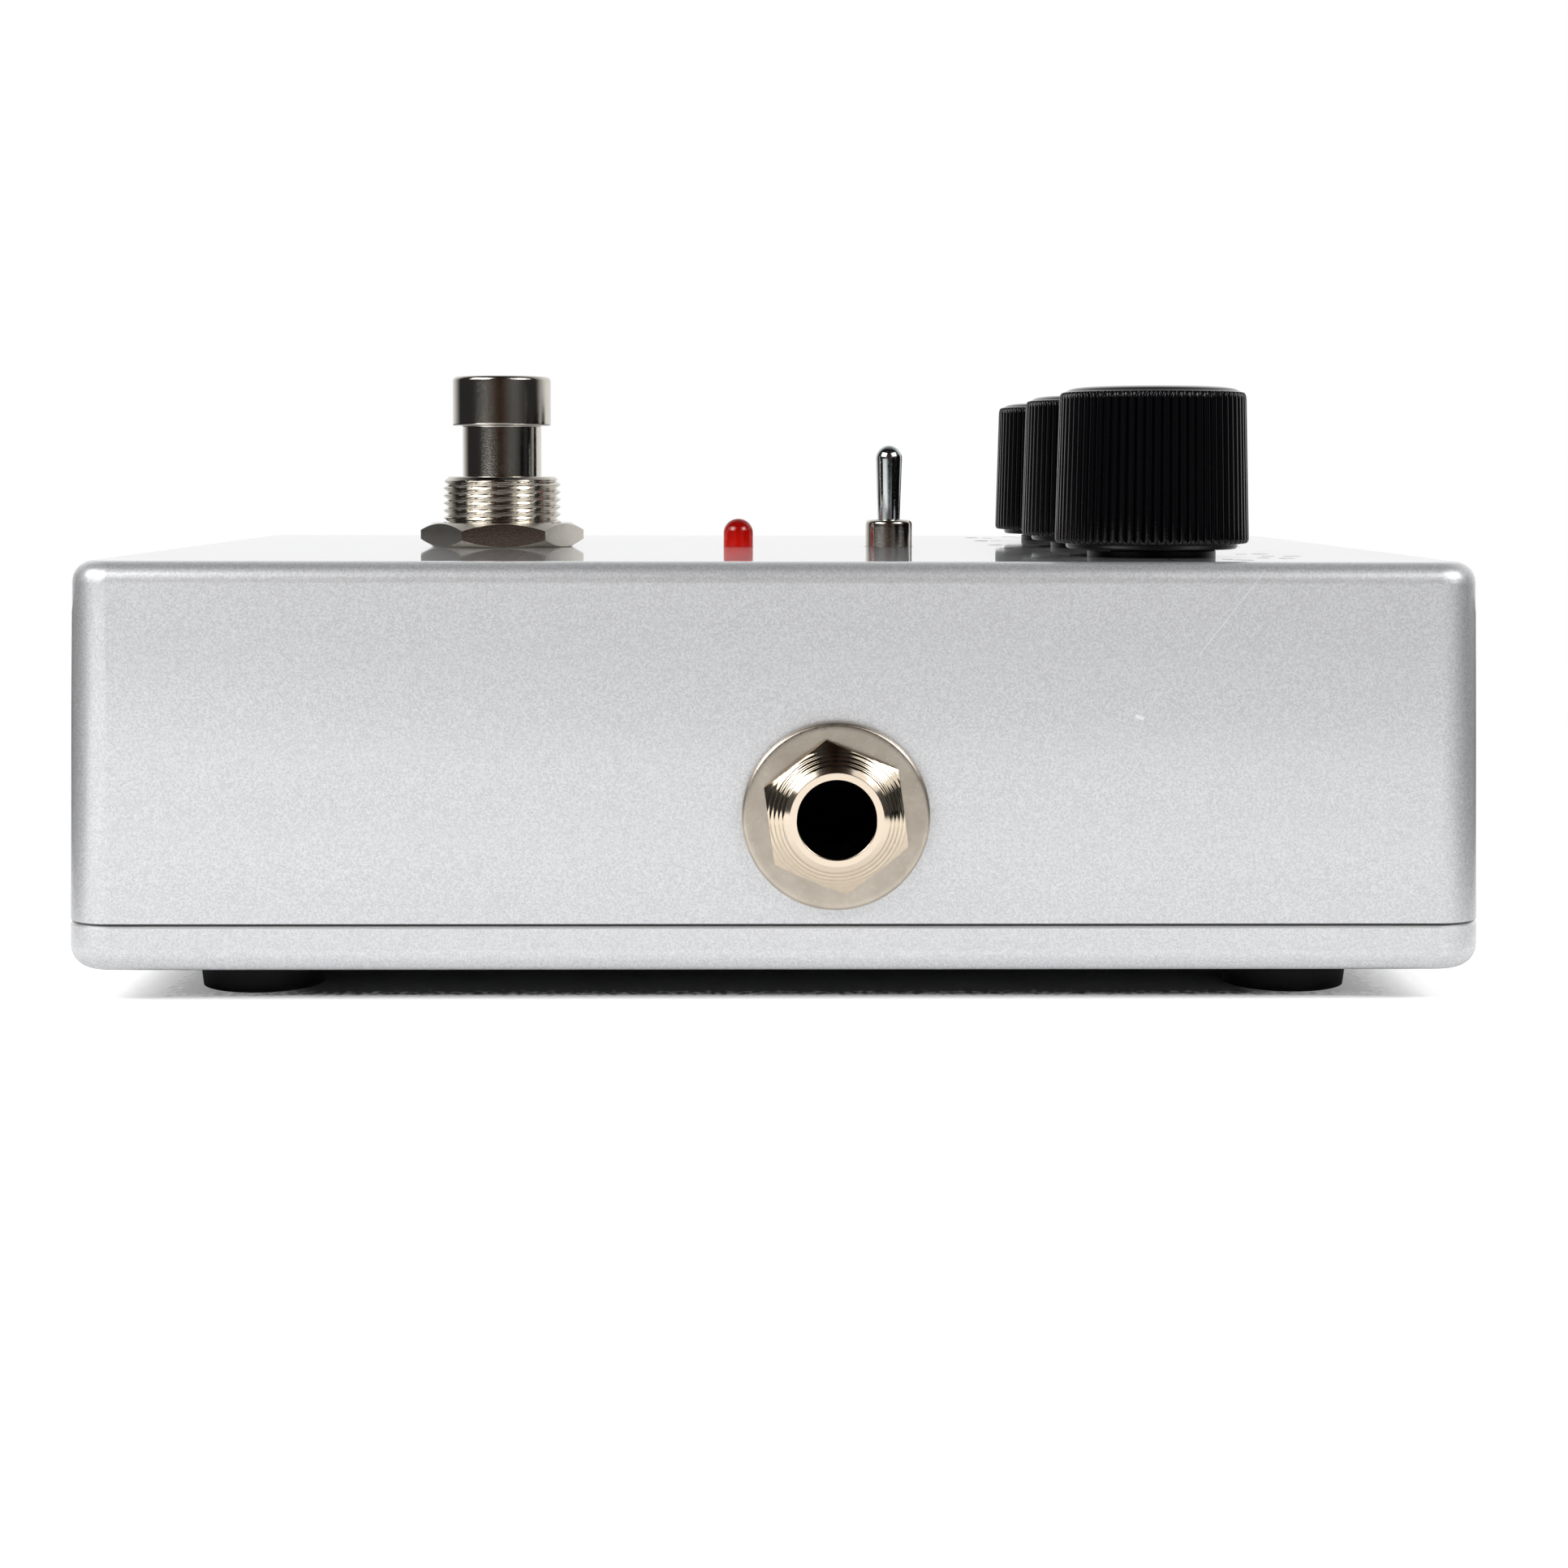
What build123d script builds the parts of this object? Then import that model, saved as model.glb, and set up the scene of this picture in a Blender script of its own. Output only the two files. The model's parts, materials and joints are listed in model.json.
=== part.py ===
from build123d import *

# Guitar effects pedal: a die-cast aluminium box with three control knobs, a status lamp, a
# miniature toggle switch, a latching footswitch, two quarter-inch jacks and a power inlet.
# Millimetres, +Z up, +Y towards the knob end, +X towards the input jack. The origin is at the
# centre of the footprint, on the surface that the rubber feet stand on.
import os
from math import cos, radians, sin, sqrt, tan

# ---- Box: body and lid ---------------------------------------------------------------------
box_length = 120.0          # along Y, where body and lid meet
box_width = 94.0            # along X, where body and lid meet
box_height = 34.6           # underside of the lid to the top face
wall = 2.3
top_wall = 2.4
draft = 1.0                 # degrees by which the walls lean in towards the top
corner_radius = 4.0
inner_corner_radius = 2.4
top_edge_radius = 1.8
joint_bevel = 0.2           # bevel on both edges of the joint, which draws its shadow line
lid_height = 4.0
lid_floor = 2.4
lid_edge_radius = 2.0
lip_height = 1.5            # rib of the lid that locates it inside the body
lip_width = 1.2
lip_clearance = 0.2
lip_notch_gap = 0.2         # round the jack housings, where they reach down to the ribs
post_radius = 3.9           # corner posts that take the lid screws
post_inset = 5.8            # post centre from the outer faces
post_clearance = 0.5
loose = 0.4                 # general clearance round pieces that are only put in place

# ---- Lid screws and feet -------------------------------------------------------------------
screw_radius = 1.7
screw_length = 12.0
screw_head_radius = 3.3
screw_head_height = 2.0
screw_sink = 0.2            # how far the heads sit below the lid's underside
screw_recess = 1.2          # depth of the cross recess
screw_slot = 0.9            # width of the cross recess
screw_slot_reach = 1.6      # its arms from the centre
screw_head_rim = 0.2        # straight rim of the head, below its cone
screw_end_room = 1.0        # hole beyond the screw's end
screw_clearance = 0.05
foot_radius = 5.7
foot_height = 4.0
foot_bevel = 0.5
foot_inset_x = 14.0         # foot centre from the box's long sides
foot_inset_y = 14.5         # foot centre from the box's short ends

# ---- Controls: places ----------------------------------------------------------------------
knob_from_back = 26.0       # knob row from the back end
knob_spacing = 29.1
toggle_from_back = 48.2
led_from_back = 63.4
jack_from_back = 55.0
footswitch_from_front = 32.8

# ---- Knobs and potentiometers --------------------------------------------------------------
knob_radius = 8.7
knob_taper = 0.35           # how much smaller its top is, in radius
knob_height = 14.5
knob_gap = 0.7              # air between the knob and the top face
knob_skirt_bevel = 0.9
knob_top_bevel = 0.9
knob_top_bevel_in = 1.7     # how far the bevel reaches in over the top
knob_recess_depth = 3.4     # room under the knob for the nut
knob_roof = 3.5             # solid thickness above the shaft's bore
knob_bore_clearance = 0.02
shaft_radius = 3.0
shaft_flat = 1.5            # depth of the flat that drives the knob
shaft_end_gap = 0.2
bushing_radius = 3.5
bushing_proud = 3.0         # threaded bushing above the top face
bushing_clearance = 0.15
running_clearance = 0.05
pot_radius = 8.25
pot_depth = 9.3             # from the top's inner face to the back of the can
pot_plate = 1.2
pot_can_wall = 0.4
pot_wafer = 1.2
pot_tail = 2.95             # how far the terminal tail reaches beyond the can
pot_tail_width = 13.0
pot_pin_pitch = 5.0
pot_rotor_clearance = 1.25   # between the rotor and the can
pot_rotor = 1.2
pot_rotor_gap = 0.3         # between the rotor and the wafer
pot_slot_clearance = 0.1    # round the wafer and its tail in the can
pot_pin_inset = 1.0         # terminals from the end of the tail
pot_nut_turn = 12.0         # degrees from +X to the first corner
pot_washer_width = 2.1
pot_washer = 0.5
pot_nut_wall = 1.4          # metal between the thread and the flats
pot_nut = 2.0
knob_nut_clearance = 0.6    # sideways room between the nut's corners and the knob's recess

# ---- Footswitch ----------------------------------------------------------------------------
plunger_radius = 3.95
plunger_clearance = 0.08
cap_overhang = 0.97         # cap's edge beyond the stem
cap_height = 4.9
cap_edge = 0.45
cap_above_bushing = 5.1
press_travel = 1.8          # how far the plunger goes down
switch_bushing_wall = 1.87
switch_bushing_proud = 7.0
switch_bushing_bevel = 0.5
switch_hole_clearance = 0.2
switch_nut_wall = 1.125     # metal between the thread and the flats
switch_nut = 2.4
switch_nut_bevel = 0.75
switch_nut_bevel_in = 1.2   # how far the bevel reaches in from the corners
switch_nut_turn = 36.2      # degrees from +X to the first corner of the outer nut
switch_washer_width = 2.5
switch_washer = 0.8
inner_nut = 2.0
thread_clearance = 0.05
switch_wall = 3.8           # thinnest wall of the case round its chamber
switch_cover = 1.0
switch_flap = 0.5           # side flaps of the cover, which grip the case
switch_flap_width = 10.4
switch_flap_drop = 7.8
switch_case_edge = 0.6
switch_body = 13.0
flange_overhang = 0.55      # edge of the collar that keeps the plunger in
flange_height = 1.2
flange_gap = 0.1
chamber_clearance = 0.4
spring_inset = 1.4          # spring's mean radius inside the collar's
spring_wire = 0.35          # radius of its wire
spring_turns = 6
spring_reserve = 3.7        # air left between the turns at full travel
spring_seat_gap = 0.05
lug_pitch_x = 5.2
lug_pitch_y = 4.7
lug_width = 2.0
lug_thickness = 0.6
lug_length = 4.6

# ---- Status lamp ---------------------------------------------------------------------------
led_radius = 1.5
led_proud = 2.8
led_hole_clearance = 0.1
led_flange_width = 0.4
led_flange = 1.0
led_flange_gap = 0.1
led_lead_pitch = 2.54
led_spacer_width = 0.6

# ---- Toggle switch -------------------------------------------------------------------------
collar_wall = 0.63
collar_proud = 2.7
collar_edge = 0.4
collar_bore = 1.72
collar_hole_clearance = 0.15
toggle_body_x = 8.4
toggle_body_y = 6.9
toggle_body_z = 7.2
toggle_case_edge = 0.5
toggle_pin_pitch = 2.54
lever_base_radius = 1.05
lever_tip_radius = 1.325
lever_top = 10.2            # above the top face
pivot_below_rim = 2.0       # lever's ball centre below the collar's rim
ball_over_lever = 0.55      # ball's radius beyond the lever's
ball_clearance = 0.08
tail_radius = 0.55
tail_length = 2.9
tail_room = 0.85            # sideways room for the tail
passage_depth = 3.4

# ---- Circuit board -------------------------------------------------------------------------
board = 1.6
board_gap = 0.3             # between the potentiometers' backs and the board
board_edge_gap = 1.0
board_front_margin = 5.6    # board beyond the lamp
pin_radius = 0.4
pin_hole_clearance = 0.12
pin_tail = 1.2              # pins beyond the board
pin_end_room = 0.2          # hole beyond a pin's end

# ---- Jacks ---------------------------------------------------------------------------------
jack_bore = 3.3             # for a quarter-inch plug
jack_sleeve_wall = 1.1
jack_sleeve_bevel = 0.3
jack_hole_clearance = 0.25
jack_housing_wall = 3.35    # thinnest wall of the housing round its chamber
jack_housing_side = 0.25    # more width on each side
jack_wall_gap = 0.3
jack_sleeve_seat = 3.0      # sleeve held in the housing
jack_chamber_room = 1.0     # chamber's radius beyond the bore's
plug_length = 30.5
jack_back_gap = 0.6
jack_back_wall = 1.2
jack_washer_width = 3.5
jack_washer = 0.9
jack_washer_edge = 0.35
jack_nut_wall = 1.25        # metal between the thread and the flats
jack_nut = 1.85
jack_nut_edge = 0.3         # thickness left at the nut's corners
jack_ring_proud = 0.1       # ring beyond the nut
jack_nut_turn = 7.7         # degrees by which the nut's top corner leans
contact_clearance = 0.2     # contact strip outside the bore
contact_thickness = 0.4
contact_width = 2.0
contact_length = 12.0
contact_from_tip = 1.5
contact_pin_inset = 2.0     # pin from the outer end of the strip
sleeve_lug_offset = 1.5     # ground pins beside the chamber
sleeve_pin_inset = 2.5      # ground pins behind the sleeve

# ---- Power inlet ---------------------------------------------------------------------------
inlet_width = 9.0
inlet_height = 11.0
inlet_length = 13.5
inlet_below_board = 6.5
inlet_nose_radius = 4.9
inlet_hole_clearance = 0.3
inlet_sink = 0.4            # nose behind the outer face
inlet_bore = 2.85
inlet_bore_depth = 9.5
inlet_nose_overlap = 0.5    # nose's root inside the housing
inlet_prong_radius = 1.02
inlet_prong_clearance = 0.03
inlet_prong_sink = 1.5      # start of the prong's round tip behind the nose
inlet_prong_root = 2.0      # prong's root from the back of the housing
inlet_pin_length = 2.5      # pins inside the housing
inlet_back_pin = 0.9        # rear pin from the back of the housing
inlet_side_pin_x = 3.0
inlet_side_pin_y = 8.0      # side pins behind the wall

# ---- Battery -------------------------------------------------------------------------------
battery_length = 46.4
battery_width = 26.5
battery_height = 17.5
battery_edge = 1.5
battery_seat_gap = 0.1
stud_radius = 2.9
stud_height = 2.1
stud_pitch = 12.7
clip_length = 25.4
clip_width = 12.6
clip_thickness = 3.6
clip_gap = 0.1
clip_edge = 1.5
lead_radius = 0.65
lead_height = 3.0           # leads above and below the clip's middle
lead_reach = 3.5            # how far the leads leave the clip before they turn up
lead_spread = 1.0           # half the distance between the two leads where they rise
lead_bend = 1.6
lead_drop = 2.4             # the leads run to the board this far below it
lead_inset = 7.0            # and meet it this far behind its front edge
ribbon_width = 11.0
ribbon_thickness = 0.9
ribbon_bend = 3.0
ribbon_start_gap = 0.6      # below the footswitch's case
ribbon_inset = 2.0          # where the ribbon meets the board, from its front edge

# ---- Components on the board ---------------------------------------------------------------
chip_length = 9.4
chip_width = 6.4
chip_height = 3.4
chip_standoff = 0.5
chip_x = 14.0
chip_from_knobs = 8.0       # chips in front of the knob row
chip_leg_pitch = 2.54
chip_row = 3.81             # rows of legs from the chip's centre line
chip_leg_wire = 0.25
chip_shoulder = 0.4         # half width of a leg's shoulder
can_radius = 3.15
can_height = 11.2
can_edge = 0.4
can_standoff = 0.3
can_plug_radius = 1.2       # rubber plug between the can and the board
film_length = 7.2
film_width = 2.6
film_height = 6.5
film_edge = 0.5
film_x = 14.0
film_step = 10.0
film_leg = 2.5              # legs from the capacitor's centre
resistor_radius = 1.15
resistor_length = 6.2
resistor_span = 9.7         # between the two legs
resistor_axis = 1.3         # above the board
resistor_x = 10.0
resistor_step = 8.0
resistor_from_toggle = 1.5
wire_radius = 0.25

# ---- Heights and places that follow --------------------------------------------------------
lid_z = foot_height
joint_z = lid_z + lid_height
top_z = lid_z + box_height
ceiling_z = top_z - top_wall
lid_floor_z = lid_z + lid_floor
half_x = box_width / 2
half_y = box_length / 2
lean = tan(radians(draft))
post_x = half_x - post_inset
post_y = half_y - post_inset
corners = [(1, 1), (-1, 1), (-1, -1), (1, -1)]
knob_y = half_y - knob_from_back
knob_places = {"left": -knob_spacing, "center": 0.0, "right": knob_spacing}
toggle_y = half_y - toggle_from_back
led_y = half_y - led_from_back
jack_y = half_y - jack_from_back
switch_y = footswitch_from_front - half_y
board_top = ceiling_z - pot_depth - board_gap
board_z = board_top - board
pin_end_z = board_z - pin_tail
pin_top_z = board_top + pin_tail
knob_top = knob_radius - knob_taper
pot_nut_flats = 2 * (bushing_radius + pot_nut_wall + thread_clearance)
pot_reach = pot_radius + pot_tail
switch_bushing_radius = plunger_radius + plunger_clearance + switch_bushing_wall
switch_nut_flats = 2 * (switch_bushing_radius + thread_clearance + switch_nut_wall)
cap_radius = plunger_radius + cap_overhang
flange_radius = plunger_radius + flange_overhang
spring_radius = flange_radius - spring_inset
chamber_radius = flange_radius + chamber_clearance
half_side = chamber_radius + switch_wall
collar_radius = collar_bore + collar_wall
ball_radius = lever_base_radius + ball_over_lever
jack_thread_radius = jack_bore + jack_sleeve_wall
jack_nut_flats = 2 * (jack_thread_radius + jack_nut_wall)
jack_washer_radius = jack_thread_radius + jack_washer_width
jack_chamber = jack_bore + jack_chamber_room
jack_below_board = jack_chamber + jack_housing_wall
jack_half_width = jack_below_board + jack_housing_side
pin_places = []             # every pin that passes through the board, as (x, y)
nodes = {}


def block(x0, x1, y0, y1, z0, z1):
    """A box between two opposite corners."""
    return Pos((x0 + x1) / 2, (y0 + y1) / 2, (z0 + z1) / 2) * Box(x1 - x0, y1 - y0, z1 - z0)


def disc(radius, z0, z1, x=0.0, y=0.0):
    """An upright cylinder between two heights."""
    return Pos(x, y, (z0 + z1) / 2) * Cylinder(radius, z1 - z0)


def tube(outer, inner, z0, z1, x=0.0, y=0.0):
    """An upright ring between two heights."""
    return disc(outer, z0, z1, x, y) - disc(inner, z0, z1, x, y)


def turned(outline):
    """A solid turned about the Z axis from a closed outline of (radius, height) points."""
    return revolve(make_face(Polyline(*[(r, 0, z) for r, z in outline], close=True)), Axis.Z)


def hexagon(flats, z0, z1, turn=0.0):
    """An upright hexagonal prism with a corner at the given angle from +X."""
    outline = RegularPolygon(flats / sqrt(3), 6, rotation=turn)
    return extrude(Pos(0, 0, z0) * outline, z1 - z0)


def one(shape):
    """The single solid of a shape."""
    solids = shape.solids()
    assert len(solids) == 1, f"expected one solid, found {len(solids)}"
    return solids[0]


def group(shapes):
    """Separate solids of one kind, kept together in one node."""
    return Compound([one(shape) for shape in shapes])


def pin(x, y, z0, z1):
    """A round wire pin, noted so that the board gets its hole."""
    pin_places.append((x, y))
    return disc(pin_radius, z0, z1, x, y)


# ---- Box -----------------------------------------------------------------------------------
def drafted(inset, radius, z0, z1):
    """A prism on the box's outline, whose walls lean in with height."""
    at = inset + (z0 - joint_z) * lean
    outline = RectangleRounded(box_width - 2 * at, box_length - 2 * at, radius)
    return extrude(Pos(0, 0, z0) * outline, z1 - z0, taper=draft)


def corner_posts(z0, z1):
    """Four round posts, each with the webs that join it to its two walls."""
    posts = []
    for sx, sy in corners:
        x, y = sx * post_x, sy * post_y
        post = disc(post_radius, z0, z1, x, y)
        for web_x, web_y in ((post_inset, post_radius), (post_radius, post_inset)):
            across = sorted((x - sx * (0 if web_x == post_inset else web_x), x + sx * web_x))
            along = sorted((y - sy * (0 if web_y == post_inset else web_y), y + sy * web_y))
            post += block(*across, *along, z0, z1)
        posts.append(post)
    return posts


def wall_x(z):
    """The outer face of the long walls at a height."""
    return half_x - (z - joint_z) * lean


def wall_y(z):
    """The outer face of the short walls at a height."""
    return half_y - (z - joint_z) * lean


jack_z = board_z - jack_below_board
inlet_z = board_z - inlet_below_board
screw_z = lid_z + screw_sink

shell = drafted(0, corner_radius, joint_z, top_z)
shell = fillet(shell.faces().sort_by(Axis.Z)[-1].edges(), top_edge_radius)
body = shell - drafted(wall, inner_corner_radius, joint_z, ceiling_z)
for post in corner_posts(joint_z, ceiling_z):
    body += post & shell
for sx, sy in corners:
    body -= disc(screw_radius + screw_clearance, joint_z, screw_z + screw_length + screw_end_room,
                 sx * post_x, sy * post_y)
for x in knob_places.values():
    body -= disc(bushing_radius + bushing_clearance, ceiling_z, top_z, x, knob_y)
body -= disc(switch_bushing_radius + switch_hole_clearance, ceiling_z, top_z, 0, switch_y)
body -= disc(led_radius + led_hole_clearance, ceiling_z, top_z, 0, led_y)
body -= disc(collar_radius + collar_hole_clearance, ceiling_z, top_z, 0, toggle_y)
across_x = Plane(origin=(0, jack_y, jack_z), x_dir=(0, 1, 0), z_dir=(1, 0, 0))
across_y = Plane(origin=(0, 0, inlet_z), x_dir=(-1, 0, 0), z_dir=(0, 1, 0))
body -= across_x * disc(jack_thread_radius + jack_hole_clearance, -half_x, half_x)
body -= across_y * disc(inlet_nose_radius + inlet_hole_clearance, 0, half_y)
body = chamfer(body.faces().sort_by(Axis.Z)[0].outer_wire().edges(), joint_bevel)
nodes["enclosure"] = one(body)

lid_shell = extrude(Pos(0, 0, lid_z) * RectangleRounded(box_width, box_length, corner_radius),
                    lid_height)
lid_shell = fillet(lid_shell.faces().sort_by(Axis.Z)[0].edges(), lid_edge_radius)
lid_shell = chamfer(lid_shell.faces().sort_by(Axis.Z)[-1].edges(), joint_bevel)
inside = RectangleRounded(box_width - 2 * wall, box_length - 2 * wall, inner_corner_radius)
pocket = extrude(Pos(0, 0, lid_floor_z) * inside, joint_z - lid_floor_z)
pocket_space = extrude(Pos(0, 0, lid_floor_z) * inside, top_z - lid_floor_z)
lid = lid_shell - pocket
for pad in corner_posts(lid_floor_z, joint_z):
    lid += pad & lid_shell
lip_x = half_x - wall - lip_clearance       # outer faces of the locating ribs
lip_y = half_y - wall - lip_clearance
rib_end_x = post_x - post_radius - post_clearance
rib_end_y = post_y - post_radius - post_clearance
for side in (1, -1):
    lid += block(*sorted((side * (lip_x - lip_width), side * lip_x)), -rib_end_y, rib_end_y,
                 lid_floor_z, joint_z + lip_height)
    lid += block(-rib_end_x, rib_end_x, *sorted((side * (lip_y - lip_width), side * lip_y)),
                 lid_floor_z, joint_z + lip_height)


def screw_outline(gap, mouth):
    """Half outline of a countersunk screw or, with a gap and a mouth, of the hole for it."""
    neck = screw_radius + gap
    rim = screw_head_radius + gap
    return [(0, -mouth), (rim, -mouth), (rim, screw_head_rim), (neck, screw_head_height),
            (neck, screw_length), (0, screw_length)]


screws = []
for sx, sy in corners:
    place = Pos(sx * post_x, sy * post_y, screw_z)
    lid -= place * turned(screw_outline(screw_clearance, screw_sink))
    screw = turned(screw_outline(0, 0))
    slot = block(-screw_slot_reach, screw_slot_reach, -screw_slot / 2, screw_slot / 2,
                 0, screw_recess)
    screw -= slot + Rot(0, 0, 90) * slot
    screws.append(place * screw)
nodes["lid_screws"] = group(screws)

feet = []
for sx, sy in corners:
    foot = turned([(0, 0), (foot_radius - foot_bevel, 0), (foot_radius - foot_bevel / 2, foot_bevel),
                   (foot_radius, foot_height), (0, foot_height)])
    feet.append(Pos(sx * (half_x - foot_inset_x), sy * (half_y - foot_inset_y), 0) * foot)
nodes["rubber_feet"] = group(feet)

# ---- Potentiometers and knobs --------------------------------------------------------------
plate_z = ceiling_z - pot_plate
wafer_z = plate_z - pot_wafer
rotor_top = wafer_z - pot_rotor_gap
can_z = ceiling_z - pot_depth
knob_z = top_z + knob_gap
shaft_top = knob_z + knob_height - knob_roof - shaft_end_gap
nut_z = top_z + pot_washer
recess_radius = pot_nut_flats / sqrt(3) + knob_nut_clearance


def driving_flat(z0, z1, gap):
    """What is cut from a round shaft or bore to leave its flat, on the side away from the pointer."""
    return block(-2 * shaft_radius, 2 * shaft_radius, -2 * shaft_radius,
                 -(shaft_radius - shaft_flat) - gap, z0, z1)


pots, bushings, wafers, pot_pins, washers, nuts = [], [], [], [], [], []
for side, x in knob_places.items():
    place = Pos(x, knob_y, 0)
    bore = shaft_radius + running_clearance
    bushing = disc(pot_radius, plate_z, ceiling_z) + disc(bushing_radius, plate_z,
                                                         top_z + bushing_proud)
    bushings.append(place * (bushing - disc(bore, plate_z, top_z + bushing_proud)))
    can = disc(pot_radius, can_z, plate_z)
    can -= disc(pot_radius - pot_can_wall, can_z + pot_can_wall, plate_z)
    tail = pot_tail_width / 2
    can -= block(-tail - pot_slot_clearance, tail + pot_slot_clearance, -2 * pot_radius, 0,
                 wafer_z - pot_slot_clearance, plate_z)
    pots.append(place * can)
    wafer = disc(pot_radius - pot_can_wall - pot_slot_clearance, wafer_z, plate_z)
    wafer += block(-tail, tail, -pot_reach, 0, wafer_z, plate_z)
    wafer -= disc(shaft_radius + loose, wafer_z, plate_z)
    wafers.append(place * wafer)
    for step in (-1, 0, 1):
        pot_pins.append(pin(x + step * pot_pin_pitch, knob_y - pot_reach + pot_pin_inset,
                            pin_end_z, wafer_z))
    shaft = disc(shaft_radius, rotor_top - pot_rotor, shaft_top)
    shaft -= driving_flat(top_z + bushing_proud, shaft_top, 0)
    shaft += disc(pot_radius - pot_can_wall - pot_rotor_clearance, rotor_top - pot_rotor, rotor_top)
    nodes[f"pot_shaft_{side}"] = one(place * shaft)
    ring_bore = bushing_radius + bushing_clearance
    washers.append(place * tube(ring_bore + pot_washer_width, ring_bore, top_z, nut_z))
    nut = hexagon(pot_nut_flats, nut_z, nut_z + pot_nut, pot_nut_turn)
    nuts.append(place * (nut - disc(bushing_radius + thread_clearance, nut_z, nut_z + pot_nut)))
    knob = turned([(0, 0), (knob_radius - knob_skirt_bevel, 0), (knob_radius, knob_skirt_bevel),
                   (knob_top, knob_height - knob_top_bevel),
                   (knob_top - knob_top_bevel_in, knob_height), (0, knob_height)])
    knob -= disc(recess_radius, 0, knob_recess_depth)
    socket = disc(shaft_radius + knob_bore_clearance, knob_recess_depth, knob_height - knob_roof)
    socket -= driving_flat(knob_recess_depth, knob_height - knob_roof, knob_bore_clearance)
    nodes[f"knob_{side}"] = one(Pos(x, knob_y, knob_z) * (knob - socket))
nodes["pot_cans"] = group(pots)
nodes["pot_bushings"] = group(bushings)
nodes["pot_wafers"] = group(wafers)
nodes["pot_pins"] = group(pot_pins)
nodes["pot_washers"] = group(washers)
nodes["pot_nuts"] = group(nuts)

# ---- Footswitch ----------------------------------------------------------------------------
at_switch = Pos(0, switch_y, 0)
rim_z = top_z + switch_bushing_proud
cap_z = rim_z + cap_above_bushing
cap_top = cap_z + cap_height
inner_nut_z = ceiling_z - switch_washer - inner_nut
cover_z = inner_nut_z - switch_cover
switch_z = cover_z - switch_body
barrel = plunger_radius + plunger_clearance

bushing = turned([(barrel, cover_z), (switch_bushing_radius, cover_z),
                  (switch_bushing_radius, rim_z - switch_bushing_bevel),
                  (switch_bushing_radius - switch_bushing_bevel, rim_z), (barrel, rim_z)])
nodes["footswitch_bushing"] = one(at_switch * bushing)
tapped = disc(switch_bushing_radius + thread_clearance, 0, rim_z)
corner = switch_nut_flats / sqrt(3)
bevel_start = corner - switch_nut_bevel_in
lathe = turned([(0, 0), (bevel_start, 0), (corner, switch_nut_bevel),
                (corner, switch_nut - switch_nut_bevel), (bevel_start, switch_nut),
                (0, switch_nut)])
nut = Pos(0, 0, top_z) * (hexagon(switch_nut_flats, 0, switch_nut, switch_nut_turn) & lathe)
nodes["footswitch_nut"] = one(at_switch * (nut - tapped))
nut = hexagon(switch_nut_flats, inner_nut_z, inner_nut_z + inner_nut)
nodes["footswitch_inner_nut"] = one(at_switch * (nut - tapped))
nodes["footswitch_lock_washer"] = one(at_switch * tube(
    switch_bushing_radius + switch_washer_width, switch_bushing_radius + thread_clearance,
    ceiling_z - switch_washer, ceiling_z))
cover = block(-half_side, half_side, -half_side, half_side, cover_z, cover_z + switch_cover)
for side in (1, -1):
    cover += block(*sorted((side * half_side, side * (half_side + switch_flap))),
                   -switch_flap_width / 2, switch_flap_width / 2,
                   cover_z - switch_flap_drop, cover_z + switch_cover)
nodes["footswitch_cover"] = one(at_switch * (cover - tapped))
flange_top = cover_z - flange_gap
flange_z = flange_top - flange_height
chamber_z = flange_z - (2 * spring_wire * spring_turns + spring_reserve + press_travel)
case = block(-half_side, half_side, -half_side, half_side, switch_z, cover_z)
case -= disc(chamber_radius, chamber_z, cover_z)
uprights = case.edges().filter_by(Axis.Z).group_by(SortBy.LENGTH)[-1]
nodes["footswitch_case"] = one(at_switch * fillet(uprights, switch_case_edge))
plunger = turned([(0, flange_z), (flange_radius, flange_z), (flange_radius, flange_top),
                  (plunger_radius, flange_top), (plunger_radius, cap_z),
                  (cap_radius - cap_edge / 2, cap_z), (cap_radius, cap_z + cap_edge / 2),
                  (cap_radius, cap_top - cap_edge), (cap_radius - cap_edge, cap_top), (0, cap_top)])
nodes["footswitch_plunger"] = one(at_switch * plunger)
spring_z = chamber_z + spring_wire + spring_seat_gap
spring_rise = flange_z - chamber_z - 2 * (spring_wire + spring_seat_gap)
coil = Helix(spring_rise / spring_turns, spring_rise, spring_radius)
section = Plane(origin=coil @ 0, z_dir=coil % 0) * Circle(spring_wire)
spring = sweep(section, path=coil, is_frenet=True)
nodes["footswitch_spring"] = one(at_switch * Pos(0, 0, spring_z) * spring)
lugs = []
for column in (-1, 0, 1):
    for row in (-1, 0, 1):
        x, y = column * lug_pitch_x, switch_y + row * lug_pitch_y
        lugs.append(block(x - lug_width / 2, x + lug_width / 2, y - lug_thickness / 2,
                          y + lug_thickness / 2, switch_z - lug_length, switch_z))
nodes["footswitch_lugs"] = group(lugs)

# ---- Status lamp ---------------------------------------------------------------------------
dome_z = top_z + led_proud - led_radius
lamp_z = ceiling_z - led_flange_gap - led_flange
lamp = disc(led_radius, lamp_z, dome_z) + Pos(0, 0, dome_z) * Sphere(led_radius)
lamp += disc(led_radius + led_flange_width, lamp_z, lamp_z + led_flange)
nodes["led_lamp"] = one(Pos(0, led_y, 0) * lamp)
leads = [pin(side * led_lead_pitch / 2, led_y, pin_end_z, lamp_z) for side in (1, -1)]
spacer = disc(led_radius + led_spacer_width, board_top, lamp_z)
for side in (1, -1):
    spacer -= disc(pin_radius + pin_hole_clearance, board_top, lamp_z, side * led_lead_pitch / 2)
nodes["led_leads"] = group(leads)
nodes["led_spacer"] = one(Pos(0, led_y, 0) * spacer)

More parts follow.
